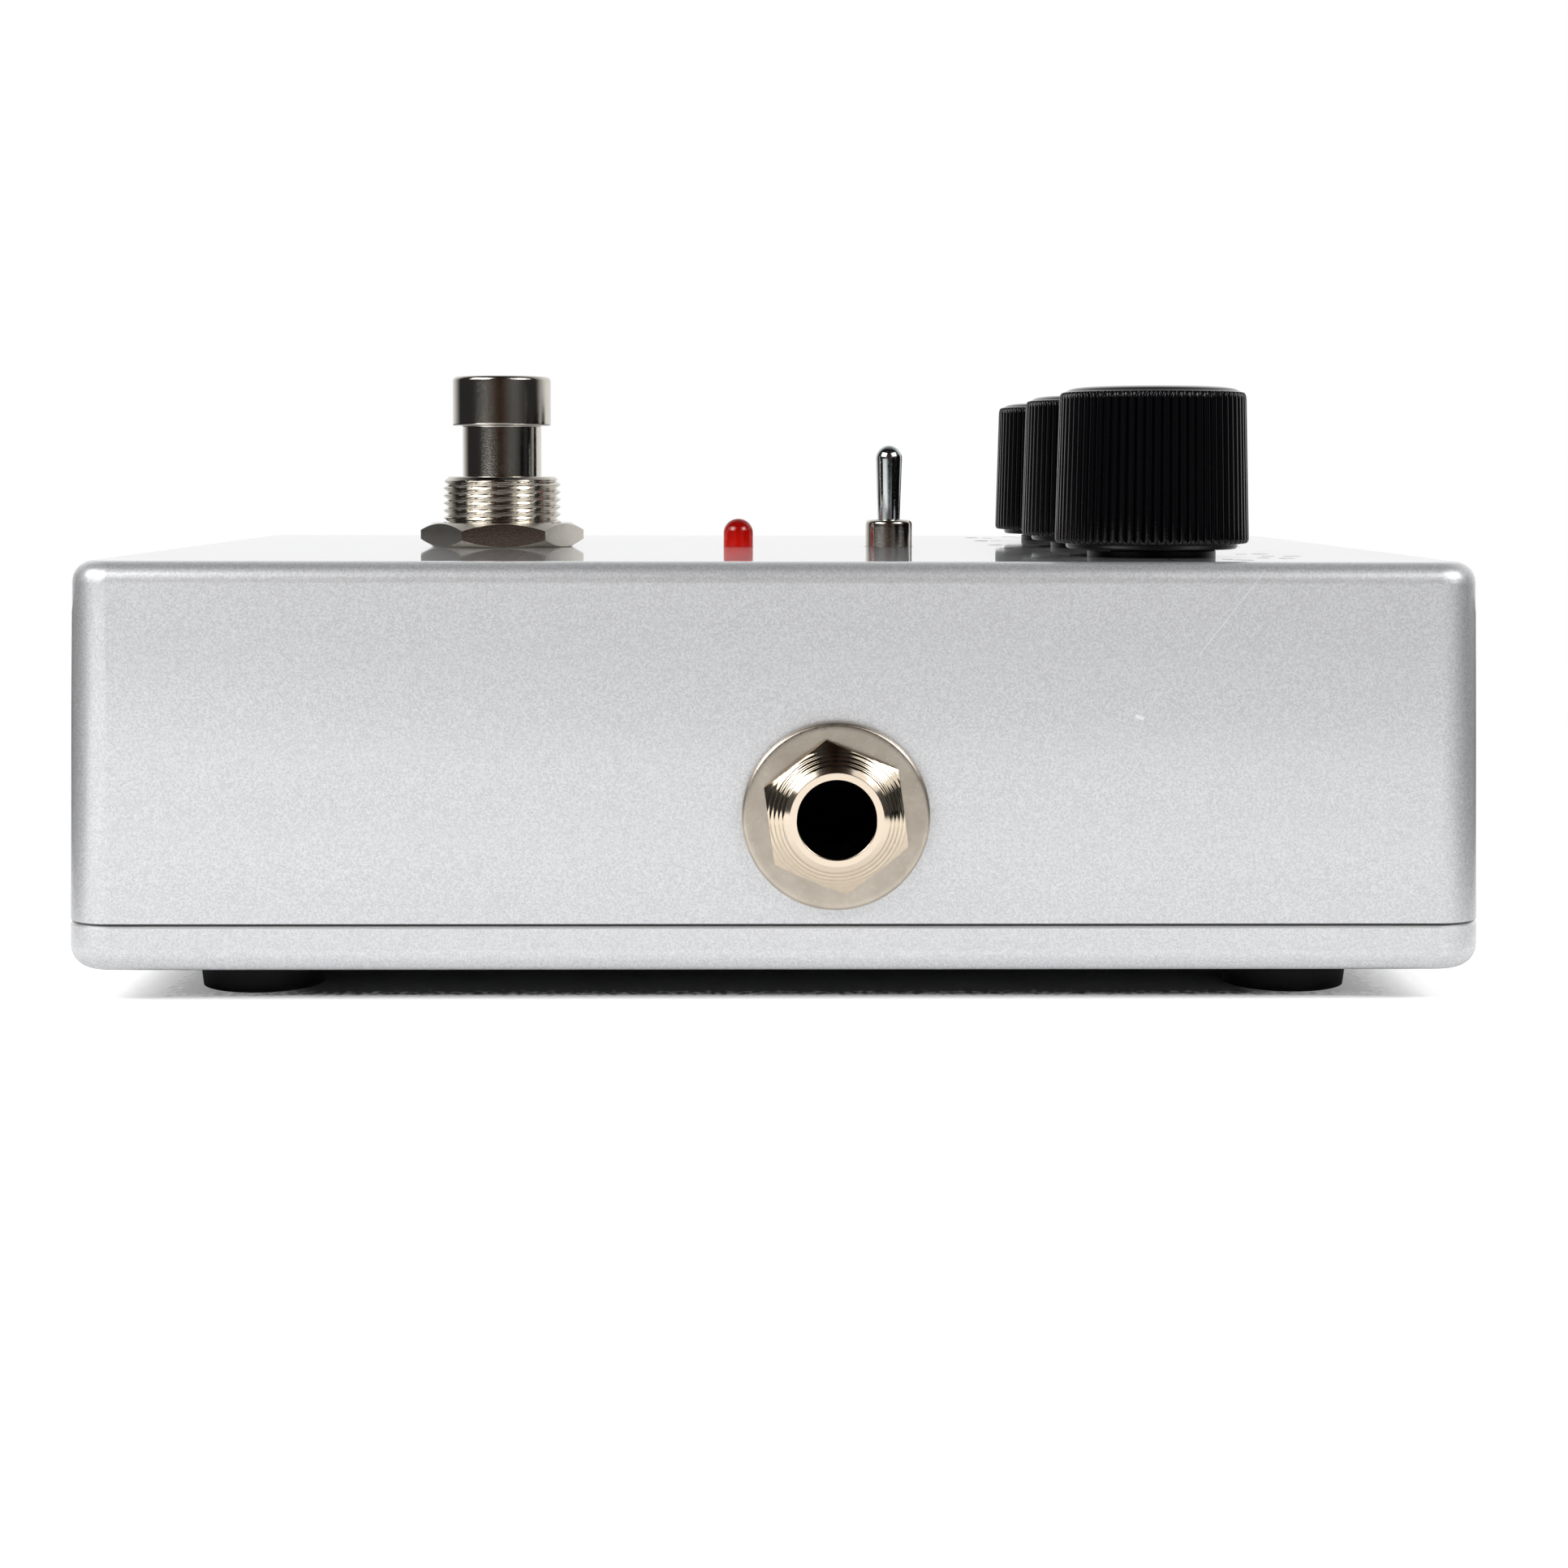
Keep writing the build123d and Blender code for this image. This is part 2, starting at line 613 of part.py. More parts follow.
# ---- Toggle switch -------------------------------------------------------------------------
at_toggle = Pos(0, toggle_y, 0)
case_top = board_top + toggle_body_z
collar_top = top_z + collar_proud
pivot_z = collar_top - pivot_below_rim
collar = turned([(0, case_top), (collar_radius, case_top), (collar_radius, collar_top - collar_edge),
                 (collar_radius - collar_edge / 3, collar_top - collar_edge / 3),
                 (collar_radius - collar_edge, collar_top), (0, collar_top)])
collar -= disc(collar_bore, pivot_z, collar_top)
collar -= Pos(0, 0, pivot_z) * Sphere(ball_radius + ball_clearance)
collar -= disc(tail_radius + tail_room, pivot_z - passage_depth, pivot_z)
nodes["toggle_collar"] = one(at_toggle * collar)
case = block(-toggle_body_x / 2, toggle_body_x / 2, -toggle_body_y / 2, toggle_body_y / 2,
             board_top, case_top)
nodes["toggle_case"] = one(at_toggle * fillet(case.edges().filter_by(Axis.Z), toggle_case_edge))
tip_z = top_z + lever_top - lever_tip_radius
lever = Pos(0, 0, (pivot_z + tip_z) / 2) * Cone(lever_base_radius, lever_tip_radius, tip_z - pivot_z)
lever += Pos(0, 0, tip_z) * Sphere(lever_tip_radius)
lever += Pos(0, 0, pivot_z) * Sphere(ball_radius)
lever += disc(tail_radius, pivot_z - tail_length, pivot_z)
nodes["toggle_lever"] = one(at_toggle * lever)
nodes["toggle_pins"] = group([pin(step * toggle_pin_pitch, toggle_y, pin_end_z, board_top)
                              for step in (-1, 0, 1)])

# ---- Jacks: made on the +X side and mirrored -----------------------------------------------
jack_face = wall_x(jack_z)
corner = jack_nut_flats / sqrt(3)
nut_in = jack_face + jack_washer / cos(radians(draft)) + corner * lean
ring_x = nut_in + jack_nut + jack_ring_proud
case_x = jack_face - wall - jack_wall_gap
sleeve_in = case_x - jack_sleeve_seat
tip_x = ring_x - plug_length
case_back = tip_x - jack_back_gap - jack_back_wall

sleeve = turned([(jack_bore, sleeve_in), (jack_thread_radius, sleeve_in),
                 (jack_thread_radius, ring_x - jack_sleeve_bevel),
                 (jack_thread_radius - jack_sleeve_bevel, ring_x),
                 (jack_bore, ring_x)])
cone = turned([(0, 0), (corner, 0), (corner, jack_nut_edge),
               (jack_thread_radius + thread_clearance, jack_nut), (0, jack_nut)])
jack_hex = Pos(0, 0, nut_in) * (hexagon(jack_nut_flats, 0, jack_nut, 90 + jack_nut_turn) & cone)
jack_hex -= disc(jack_thread_radius + thread_clearance, nut_in, ring_x)
ring = turned([(jack_thread_radius + jack_hole_clearance, 0), (jack_washer_radius, 0),
               (jack_washer_radius, jack_washer - jack_washer_edge),
               (jack_washer_radius - jack_washer_edge, jack_washer),
               (jack_thread_radius + jack_hole_clearance, jack_washer)])
square_out = (cos(radians(draft)), 0, sin(radians(draft)))     # away from the leaning wall
on_wall = Plane(origin=(jack_face, jack_y, jack_z), x_dir=(0, 1, 0), z_dir=square_out)
housing = block(-jack_half_width, jack_half_width, -jack_below_board, jack_below_board,
                case_back, case_x)
housing -= disc(jack_thread_radius + thread_clearance, sleeve_in, case_x)
housing -= disc(jack_chamber, case_back + jack_back_wall, sleeve_in)
strip_end_x = tip_x + contact_from_tip + contact_length
tip_pin_x = strip_end_x - contact_pin_inset
ring_pin_x = sleeve_in - sleeve_pin_inset
pieces = {"sleeve": across_x * sleeve, "nut": across_x * jack_hex, "washer": on_wall * ring}
case = across_x * housing
strip_z = jack_z + jack_bore + contact_clearance
strip = block(tip_x + contact_from_tip, strip_end_x, jack_y - contact_width / 2,
              jack_y + contact_width / 2, strip_z, strip_z + contact_thickness)
strip += pin(tip_pin_x, jack_y, strip_z, pin_top_z)
lugs = [strip]
case -= disc(pin_radius + pin_hole_clearance, strip_z, board_z, tip_pin_x, jack_y)
for side in (1, -1):
    lug_y = jack_y + side * (jack_chamber + sleeve_lug_offset)
    lugs.append(pin(ring_pin_x, lug_y, jack_z, pin_top_z))
    case -= disc(pin_radius + pin_hole_clearance, jack_z - pin_end_room, board_z, ring_pin_x, lug_y)
pieces["housing"] = case
around = block(case_back - lip_notch_gap, half_x, jack_y - jack_half_width - lip_notch_gap,
               jack_y + jack_half_width + lip_notch_gap,
               jack_z - jack_below_board - lip_notch_gap, top_z)
around &= pocket_space
nodes["lid"] = one(lid - around - mirror(around, Plane.YZ))
for name, piece in pieces.items():
    nodes[f"input_jack_{name}"] = one(piece)
    nodes[f"output_jack_{name}"] = one(mirror(piece, Plane.YZ))
nodes["input_jack_contacts"] = group(lugs)
nodes["output_jack_contacts"] = group([mirror(lug, Plane.YZ) for lug in lugs])
pin_places += [(-x, y) for x, y in pin_places[-3:]]      # the output jack's pins

# ---- Power inlet ---------------------------------------------------------------------------
nose_y = wall_y(inlet_z) - inlet_sink
inlet_in = wall_y(inlet_z) - wall - jack_wall_gap
inlet_back = inlet_in - inlet_length
prong_root = inlet_back + inlet_prong_root
prong_end = nose_y - inlet_prong_sink
inlet = block(-inlet_width / 2, inlet_width / 2, inlet_below_board - inlet_height,
              inlet_below_board, inlet_back, inlet_in)
inlet += disc(inlet_nose_radius, inlet_in - inlet_nose_overlap, nose_y)
inlet -= disc(inlet_bore, nose_y - inlet_bore_depth, nose_y)
inlet -= disc(inlet_prong_radius + inlet_prong_clearance, prong_root, nose_y)
inlet = across_y * inlet
prong = disc(inlet_prong_radius, prong_root + inlet_prong_clearance, prong_end)
prong += Pos(0, 0, prong_end) * Sphere(inlet_prong_radius)
inlet_pins = []
side_pin_y = inlet_in - inlet_side_pin_y
for x, y in ((0, inlet_back + inlet_back_pin), (-inlet_side_pin_x, side_pin_y),
             (inlet_side_pin_x, side_pin_y)):
    inlet_pins.append(pin(x, y, board_z - inlet_pin_length, pin_top_z))
    inlet -= disc(pin_radius + pin_hole_clearance, board_z - inlet_pin_length - pin_end_room,
                  board_z, x, y)
nodes["power_inlet_housing"] = one(inlet)
nodes["power_inlet_prong"] = one(across_y * prong)
nodes["power_inlet_pins"] = group(inlet_pins)

# ---- Components on the board ---------------------------------------------------------------
chips, chip_legs = [], []
chip_top = board_z - chip_standoff
chip_middle = chip_top - chip_height / 2
chip_y = knob_y - chip_from_knobs
for side in (1, -1):
    x = side * chip_x
    chips.append(block(x - chip_length / 2, x + chip_length / 2, chip_y - chip_width / 2,
                       chip_y + chip_width / 2, chip_top - chip_height, chip_top))
    for row in (1, -1):
        for step in (-1.5, -0.5, 0.5, 1.5):
            leg_x, leg_y = x + step * chip_leg_pitch, chip_y + row * chip_row
            leg = disc(chip_leg_wire, chip_middle, board_z, leg_x, leg_y)
            leg += block(leg_x - chip_shoulder, leg_x + chip_shoulder,
                         *sorted((chip_y + row * chip_width / 2, leg_y)), chip_middle,
                         chip_middle + chip_leg_wire)
            chip_legs.append(leg)
nodes["amplifier_chips"] = group(chips)
nodes["chip_legs"] = group(chip_legs)
cans = []
can_top = board_z - can_standoff
middle_y = (knob_y - pot_reach + pot_pin_inset + toggle_y) / 2     # between two rows of pins
for x, y in ((-knob_spacing, knob_y), (knob_spacing, knob_y), (0, middle_y)):
    can = fillet(disc(can_radius, can_top - can_height, can_top, x, y).edges(), can_edge)
    cans.append(can + disc(can_plug_radius, can_top - can_edge, board_z, x, y))
nodes["electrolytic_capacitors"] = group(cans)
films, resistors = [], []
resistor_z = board_top + resistor_axis
resistor_y = toggle_y - resistor_from_toggle
for side in (1, -1):
    for step in range(3):
        x = side * (film_x + step * film_step)
        film = block(x - film_length / 2, x + film_length / 2, led_y - film_width / 2,
                     led_y + film_width / 2, board_top + chip_standoff,
                     board_top + chip_standoff + film_height)
        film = fillet(film.edges().filter_by(Axis.Z), film_edge)
        for leg_x in (x - film_leg, x + film_leg):
            film += disc(wire_radius, board_top, board_top + 2 * chip_standoff, leg_x, led_y)
        films.append(film)
    for step in range(4):
        x = side * (resistor_x + step * resistor_step)
        lying = Pos(x, resistor_y, resistor_z) * Rot(90, 0, 0)
        resistor = lying * Cylinder(resistor_radius, resistor_length)
        resistor += lying * Cylinder(wire_radius, resistor_span)
        for end in (1, -1):
            leg_y = resistor_y + end * resistor_span / 2
            resistor += disc(wire_radius, board_top, resistor_z, x, leg_y)
            resistor += Pos(x, leg_y, resistor_z) * Sphere(wire_radius)
        resistors.append(resistor)
nodes["film_capacitors"] = group(films)
nodes["resistors"] = group(resistors)

# ---- Circuit board -------------------------------------------------------------------------
board_x = wall_x(board_top) - wall - board_edge_gap
board_back = wall_y(board_top) - wall - board_edge_gap
board_front = led_y - board_front_margin
notch_x = post_x - post_radius - post_clearance
notch_y = post_y - post_radius - post_clearance
pcb = block(-board_x, board_x, board_front, board_back, board_z, board_top)
for side in (1, -1):
    pcb -= block(*sorted((side * notch_x, side * half_x)), notch_y, half_y, board_z, board_top)
for x, y in pin_places:
    pcb -= disc(pin_radius + pin_hole_clearance, board_z, board_top, x, y)
nodes["circuit_board"] = one(pcb)

# ---- Battery, its clip and the wiring ------------------------------------------------------
battery_x = post_x - post_radius - loose - battery_width
battery_y = loose - (lip_y - lip_width)
battery_z = lid_floor_z + battery_seat_gap
battery = block(battery_x, battery_x + battery_width, battery_y, battery_y + battery_length,
                battery_z, battery_z + battery_height)
nodes["battery"] = one(fillet(battery.edges().filter_by(Axis.Y), battery_edge))
stud_y = battery_y + battery_length
stud_x = battery_x + battery_width / 2
stud_z = battery_z + battery_height / 2
along = Plane(origin=(stud_x, 0, stud_z), x_dir=(-1, 0, 0), z_dir=(0, 1, 0))
studs = [along * disc(stud_radius, stud_y, stud_y + stud_height, s * stud_pitch / 2) for s in (1, -1)]
nodes["battery_studs"] = group(studs)
clip = block(-clip_length / 2, clip_length / 2, -clip_width / 2, clip_width / 2,
             stud_y + clip_gap, stud_y + clip_gap + clip_thickness)
clip = fillet(clip.edges().filter_by(Axis.Z), clip_edge)
for side in (1, -1):
    clip -= disc(stud_radius + clip_gap, stud_y, stud_y + stud_height + clip_gap, side * stud_pitch / 2)
nodes["battery_clip"] = one(along * clip)
wires = []
for side in (1, -1):
    y = stud_y + clip_gap + clip_thickness / 2
    z = stud_z + side * lead_height
    x0 = stud_x - clip_length / 2
    x1 = x0 - lead_reach + side * lead_spread
    route = FilletPolyline((x0, y, z), (x1, y, z), (x1, y, board_z - lead_drop),
                           (x1, board_front + lead_inset, board_z - lead_drop),
                           (x1, board_front + lead_inset, board_z), radius=lead_bend)
    wires.append(sweep(Plane(origin=(x0, y, z), z_dir=(-1, 0, 0)) * Circle(lead_radius), path=route))
nodes["battery_leads"] = group(wires)
lug_y = switch_y + lug_pitch_y + (lug_thickness + ribbon_thickness) / 2
ribbon_top = switch_z - ribbon_start_gap
ribbon_low = switch_z - lug_length - ribbon_bend
ribbon_y = board_front + ribbon_inset
route = FilletPolyline((0, lug_y, ribbon_top), (0, lug_y, ribbon_low), (0, ribbon_y, ribbon_low),
                       (0, ribbon_y, board_z), radius=ribbon_bend)
band = Plane(origin=(0, lug_y, ribbon_top), x_dir=(1, 0, 0), z_dir=(0, 0, -1))
nodes["footswitch_ribbon"] = one(sweep(band * Rectangle(ribbon_width, ribbon_thickness), path=route))

# ---- Export --------------------------------------------------------------------------------
os.makedirs("parts", exist_ok=True)
for name, shape in nodes.items():
    export_step(shape, f"parts/{name}.step")
print(len(nodes), "nodes written")
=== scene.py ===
import json
from math import pi, radians, sqrt

import bpy
import numpy as np
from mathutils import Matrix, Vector


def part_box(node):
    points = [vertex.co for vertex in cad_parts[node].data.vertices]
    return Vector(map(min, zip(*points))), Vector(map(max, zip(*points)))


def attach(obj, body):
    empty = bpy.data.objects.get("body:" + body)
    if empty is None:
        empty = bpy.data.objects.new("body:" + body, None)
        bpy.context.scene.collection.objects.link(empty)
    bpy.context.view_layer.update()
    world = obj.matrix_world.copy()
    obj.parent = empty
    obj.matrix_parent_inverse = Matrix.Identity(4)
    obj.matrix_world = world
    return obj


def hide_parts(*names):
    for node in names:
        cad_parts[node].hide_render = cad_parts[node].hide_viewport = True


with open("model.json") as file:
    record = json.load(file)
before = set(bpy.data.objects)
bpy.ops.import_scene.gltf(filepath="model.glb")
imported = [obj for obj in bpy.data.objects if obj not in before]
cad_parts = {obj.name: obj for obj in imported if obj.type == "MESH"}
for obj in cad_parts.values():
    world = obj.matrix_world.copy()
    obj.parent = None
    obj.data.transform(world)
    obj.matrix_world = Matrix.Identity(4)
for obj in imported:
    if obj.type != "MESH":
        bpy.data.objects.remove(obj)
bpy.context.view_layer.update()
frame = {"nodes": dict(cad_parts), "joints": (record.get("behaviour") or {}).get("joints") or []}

# ---- Box and lid ---------------------------------------------------------------------------
# A die-cast aluminium body with leaning walls and its flat-bottomed lid, sprayed with silver
# metallic enamel under clear lacquer. The lacquer is glossy with a faint orange peel, and the
# aluminium flakes under it give a soft, slightly grainy sheen.
flake_size = 0.13               # mm, coarser than the real 0.03 mm, so that the grain shows
flake_tilt = 0.004              # mm from one side of a flake to the other
peel_size, peel_height = 1.6, 0.0012        # mm between the lacquer's ripples, and their height
joint_shade_z, joint_shade_half = 8.11, 0.11            # mm, painted shade in the gap between the body and the lid
lip_highlight_z, lip_highlight_half = joint_shade_z - 0.24, 0.09      # mm, a painted highlight along the lid's upper edge just under it
mark_depth = 2.0                # mm to each side of the wall's face that a mark reaches
scratch = ((46.7, 38.3, 34.5), 9.1, 0.06, 52.0)     # middle, length and width in mm, turn in degrees
chip = ((46.9, 30.5, 25.6), 0.75, 0.32, -20.0)


def srgb(code):
    """A hex colour turned into linear red, green, blue and an alpha of one."""
    parts = np.array([int(code[at:at + 2], 16) for at in (1, 3, 5)]) / 255
    linear = np.where(parts <= 0.04045, parts / 12.92, ((parts + 0.055) / 1.055) ** 2.4)
    return (*linear.tolist(), 1.0)


def material(name):
    """A new material with an empty node tree."""
    made = bpy.data.materials.new(name)
    made.use_nodes = True
    made.node_tree.nodes.clear()
    return made


def add(tree, kind, sockets=None, **settings):
    """Adds a node of a kind with its settings, and sets or links the named input sockets."""
    made = tree.nodes.new("ShaderNode" + kind)
    for name, value in settings.items():
        setattr(made, name, value)
    for name, value in (sockets or {}).items():
        if isinstance(value, bpy.types.Node):
            value = value.outputs[0]
        if isinstance(value, bpy.types.NodeSocket):
            tree.links.new(value, made.inputs[name])
        else:
            made.inputs[name].default_value = value
    return made


def coat_nodes(finish, *names):
    """Gives CAD nodes a material."""
    for name in names:
        frame["nodes"][name].material_slots[0].material = finish


def blemish(tree, place, middle, length, width, turn):
    """One inside a thin block on the side wall and zero outside it: the largest of the three
    distances from the middle, each over its half size, is compared with one."""
    half = (mark_depth / 1000, length / 2000, width / 2000)
    inside = add(tree, "Mapping", {"Vector": place, "Location": [v / 1000 for v in middle],
                                   "Rotation": (radians(turn), 0, 0), "Scale": half},
                 vector_type="TEXTURE")
    away = add(tree, "VectorMath", {0: inside}, operation="ABSOLUTE")
    parts = add(tree, "SeparateXYZ", {0: away})
    side = add(tree, "Math", {0: parts.outputs[0], 1: parts.outputs[1]}, operation="MAXIMUM")
    most = add(tree, "Math", {0: side, 1: parts.outputs[2]}, operation="MAXIMUM")
    return add(tree, "Math", {0: most, 1: 1.0}, operation="LESS_THAN")


enamel = material("silver_metallic_enamel")
tree = enamel.node_tree
place = add(tree, "TexCoord").outputs["Object"]
flakes = add(tree, "TexVoronoi", {"Vector": place, "Scale": 1000 / flake_size})
sparkle = add(tree, "SeparateColor", {0: flakes.outputs["Color"]})
paint = add(tree, "MixRGB", {"Fac": sparkle.outputs[0], "Color1": srgb("#D2D3D5"),
                             "Color2": srgb("#ECEDEF")})
level = add(tree, "SeparateXYZ", {0: place}).outputs[2]
# Two bands by height: a painted highlight along the lid's upper edge, and painted shade in the gap above
# it.
lip_highlight = add(tree, "Math", {0: level, 1: lip_highlight_z / 1000, 2: lip_highlight_half / 1000}, operation="COMPARE")
joint = add(tree, "Math", {0: level, 1: joint_shade_z / 1000, 2: joint_shade_half / 1000}, operation="COMPARE")
marks = add(tree, "Math", {0: blemish(tree, place, *scratch), 1: blemish(tree, place, *chip)},
            operation="MAXIMUM")
colour = paint
for where, code in ((marks, "#FBFBFC"), (lip_highlight, "#FBFBFC"), (joint, "#0A0A0A")):
    colour = add(tree, "MixRGB", {"Fac": where, "Color1": colour, "Color2": srgb(code)})
tilt = add(tree, "Bump", {"Height": sparkle.outputs[1], "Distance": flake_tilt / 1000, "Strength": 0.5})
peel = add(tree, "TexNoise", {"Vector": place, "Scale": 1000 / peel_size, "Detail": 1.0})
ripple = add(tree, "Bump", {"Height": peel, "Distance": peel_height / 1000, "Strength": 1.0})
enamel_shader = add(tree, "BsdfPrincipled", {
    "Base Color": colour, "Metallic": 0.74, "Roughness": 0.45, "Normal": tilt, "Coat Weight": 1.0,
    "Coat Roughness": 0.05, "Coat IOR": 1.5, "Coat Normal": ripple})
add(tree, "OutputMaterial", {"Surface": enamel_shader})
coat_nodes(enamel, "enclosure", "lid")

# ---- Rubber feet ---------------------------------------------------------------------------
# Four stick-on bumpers of black rubber, moulded with a tapered side, a soft lower edge and a
# shallow dimple underneath. Moulded rubber is matt, with a faint dusty sheen.
foot_radius, foot_columns = 5.7, 72
foot_edge = 0.6                 # mm, radius of the lower edge
foot_taper = 0.5                # mm narrower at the bottom
dimple_radius, dimple_depth, dimple_slope = 1.9, 0.35, 0.4


def mottled(name, grain, detail, tones, rough, metal=0.0, span=(0.0, 1.0), dents=None, cloud=None,
            more=None):
    """A material with a fine noise in it, whose spots are grain millimetres apart.

    The colour runs between two tones with the noise, or with a wider one where cloud gives its
    size and detail. rough is one value, or a pair that the noise runs between over its own span.
    dents are the depth in millimetres and the strength of its bump, and more other shader inputs.
    """
    made = material(name)
    tree = made.node_tree
    place = add(tree, "TexCoord").outputs["Object"]
    noise = add(tree, "TexNoise", {"Vector": place, "Scale": 1000 / grain, "Detail": detail})
    wide = noise
    if cloud:
        wide = add(tree, "TexNoise", {"Vector": place, "Scale": 1000 / cloud[0], "Detail": cloud[1]})
    tone = add(tree, "MixRGB", {"Fac": wide, "Color1": srgb(tones[0]), "Color2": srgb(tones[1])})
    sockets = {"Base Color": tone, "Roughness": rough, "Metallic": metal, **(more or {})}
    if isinstance(rough, tuple):
        sockets["Roughness"] = add(tree, "MapRange", {"Value": noise, "From Min": span[0],
                                                      "From Max": span[1], "To Min": rough[0],
                                                      "To Max": rough[1]})
    if dents:
        sockets["Normal"] = add(tree, "Bump", {"Height": noise, "Distance": dents[0] / 1000,
                                               "Strength": dents[1]})
    shader = add(tree, "BsdfPrincipled", sockets)
    add(tree, "OutputMaterial", {"Surface": shader})
    return made


def outline(corners, radii, steps=5, closed=False):
    """An outline whose corners are rounded by arcs, as (radius, height) rows.

    Half the angle between a corner's two runs gives how far back the arc starts, which is its
    radius over the tangent, and how far its centre lies along the bisector, which is its radius
    over the sine. A guard row on each side of an arc keeps the flat runs flat when shaded.
    """
    at = np.array(corners, float)
    radius = np.broadcast_to(np.array(radii, float), len(at)).copy()
    if not closed:
        radius[[0, -1]] = 0
    back, ahead = np.roll(at, 1, 0) - at, np.roll(at, -1, 0) - at
    run_back = np.linalg.norm(back, axis=1)
    run_ahead = np.linalg.norm(ahead, axis=1)
    back /= run_back[:, None]
    ahead /= run_ahead[:, None]
    half = np.arccos(np.clip((back * ahead).sum(1), -1, 1)) / 2
    reach = radius / np.tan(half)
    spare_back = 0.45 * (run_back - reach - np.roll(reach, 1))
    spare_ahead = 0.45 * (run_ahead - reach - np.roll(reach, -1))
    middle = back + ahead
    middle /= np.linalg.norm(middle, axis=1)[:, None]
    centre = at + middle * (radius / np.sin(half))[:, None]
    start = at + back * reach[:, None] - centre
    end = at + ahead * reach[:, None] - centre
    turn = (pi - 2 * half)[:, None, None]
    share = np.linspace(0, 1, steps + 1)[None, :, None]
    arc = (np.sin((1 - share) * turn) * start[:, None] + np.sin(share * turn) * end[:, None])
    arc = centre[:, None] + arc / np.sin(turn)
    guard = 0.7 * radius
    before = at + back * (reach + np.minimum(guard, spare_back))[:, None]
    after = at + ahead * (reach + np.minimum(guard, spare_ahead))[:, None]
    rows = np.concatenate([before[:, None], arc, after[:, None]], axis=1)
    if closed:
        return rows.reshape(-1, 2)
    return np.concatenate([at[:1], rows[1:-1].reshape(-1, 2), at[-1:]])


def turned(profile, columns, place=(0, 0, 0)):
    """A grid turned about an upright axis: row by row, a circle at each radius and height."""
    angle = np.linspace(0, 2 * pi, columns, endpoint=False)
    radius, height = np.asarray(profile).T[:, :, None]
    return np.stack([radius * np.cos(angle), radius * np.sin(angle), height + 0 * angle], -1) + place


def surface(name, grids, body, finish, stands_for=(), ring=False, crease=35):
    """A closed mesh from grids of points in millimetres, each rows by columns by three.

    Every row closes on itself. With ring the last row joins the first, as on a washer, and
    without it the first and last rows are closed by a point at their middle.
    """
    points, faces, base = [], [], 0
    for grid in grids:
        rows, columns = grid.shape[:2]
        row, column = np.meshgrid(np.arange(rows if ring else rows - 1), np.arange(columns),
                                  indexing="ij")
        above, beside = (row + 1) % rows, (column + 1) % columns
        quads = np.stack([row * columns + column, row * columns + beside,
                          above * columns + beside, above * columns + column], -1).reshape(-1, 4)
        faces += (quads + base).tolist()
        points.append(grid.reshape(-1, 3))
        if not ring:
            one = np.arange(columns)
            two = (one + 1) % columns
            pole = np.full(columns, rows * columns)
            last = (rows - 1) * columns
            faces += (np.stack([pole, two, one], -1) + base).tolist()
            faces += (np.stack([pole + 1, last + one, last + two], -1) + base).tolist()
            points.append(np.stack([grid[0].mean(0), grid[-1].mean(0)]))
        base += rows * columns + (0 if ring else 2)
    mesh = bpy.data.meshes.new(name)
    mesh.from_pydata((np.concatenate(points) / 1000).tolist(), [], faces)
    mesh.polygons.foreach_set("use_smooth", np.ones(len(faces), bool))
    mesh.set_sharp_from_angle(angle=radians(crease))
    mesh.materials.append(finish)
    piece = bpy.data.objects.new(name, mesh)
    bpy.context.scene.collection.objects.link(piece)
    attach(piece, body)
    if stands_for:
        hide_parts(*stands_for)
    return piece


def box_of(node):
    """A CAD node's lowest and highest corners in millimetres."""
    low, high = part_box(node)
    return np.array(low) * 1000, np.array(high) * 1000


rubber = mottled("moulded_rubber", 0.9, 6.0, ("#060607", "#121214"), 0.8, dents=(0.03, 0.5),
                 more={"IOR": 1.52, "Sheen Weight": 0.03, "Sheen Roughness": 0.4})

feet_edge = box_of("rubber_feet")[1]
lid_bottom = box_of("lid")[0][2]
profile = outline([(0, dimple_depth), (dimple_radius, dimple_depth), (dimple_radius + dimple_slope, 0),
                   (foot_radius - foot_taper, 0), (foot_radius, lid_bottom), (0, lid_bottom)],
                  [0, 0.2, 0.15, foot_edge, 0.1, 0])
feet = [turned(profile, foot_columns, (side * (feet_edge[0] - foot_radius),
                                       end * (feet_edge[1] - foot_radius), 0))
        for side in (1, -1) for end in (1, -1)]
surface("rubber_feet_moulded", feet, "box", rubber, ["rubber_feet"])

# ---- Lid screws and plated steel -----------------------------------------------------------
# The countersunk lid screws, the potentiometers' cans, and the footswitch's cover, spring, lock
# washer and inner nut are steel, bright zinc plated. Zinc is greyer than nickel, with a soft grain
# left by rolling.
zinc = material("bright_zinc_plate")
tree = zinc.node_tree
place = add(tree, "TexCoord").outputs["Object"]
along = add(tree, "Mapping", {"Vector": place, "Scale": (1, 1, 0.15)})
rolling = add(tree, "TexNoise", {"Vector": along, "Scale": 1000 / 0.25, "Detail": 3.0})
tone = add(tree, "MixRGB", {"Fac": rolling, "Color1": srgb("#A8A8A6"), "Color2": srgb("#D3D3D0")})
rough = add(tree, "MapRange", {"Value": rolling, "To Min": 0.22, "To Max": 0.42})
zinc_shader = add(tree, "BsdfPrincipled", {"Base Color": tone, "Metallic": 1.0, "Roughness": rough})
add(tree, "OutputMaterial", {"Surface": zinc_shader})
coat_nodes(zinc, "lid_screws", "footswitch_lock_washer", "footswitch_inner_nut",
           "footswitch_spring", "pot_cans", "footswitch_cover")

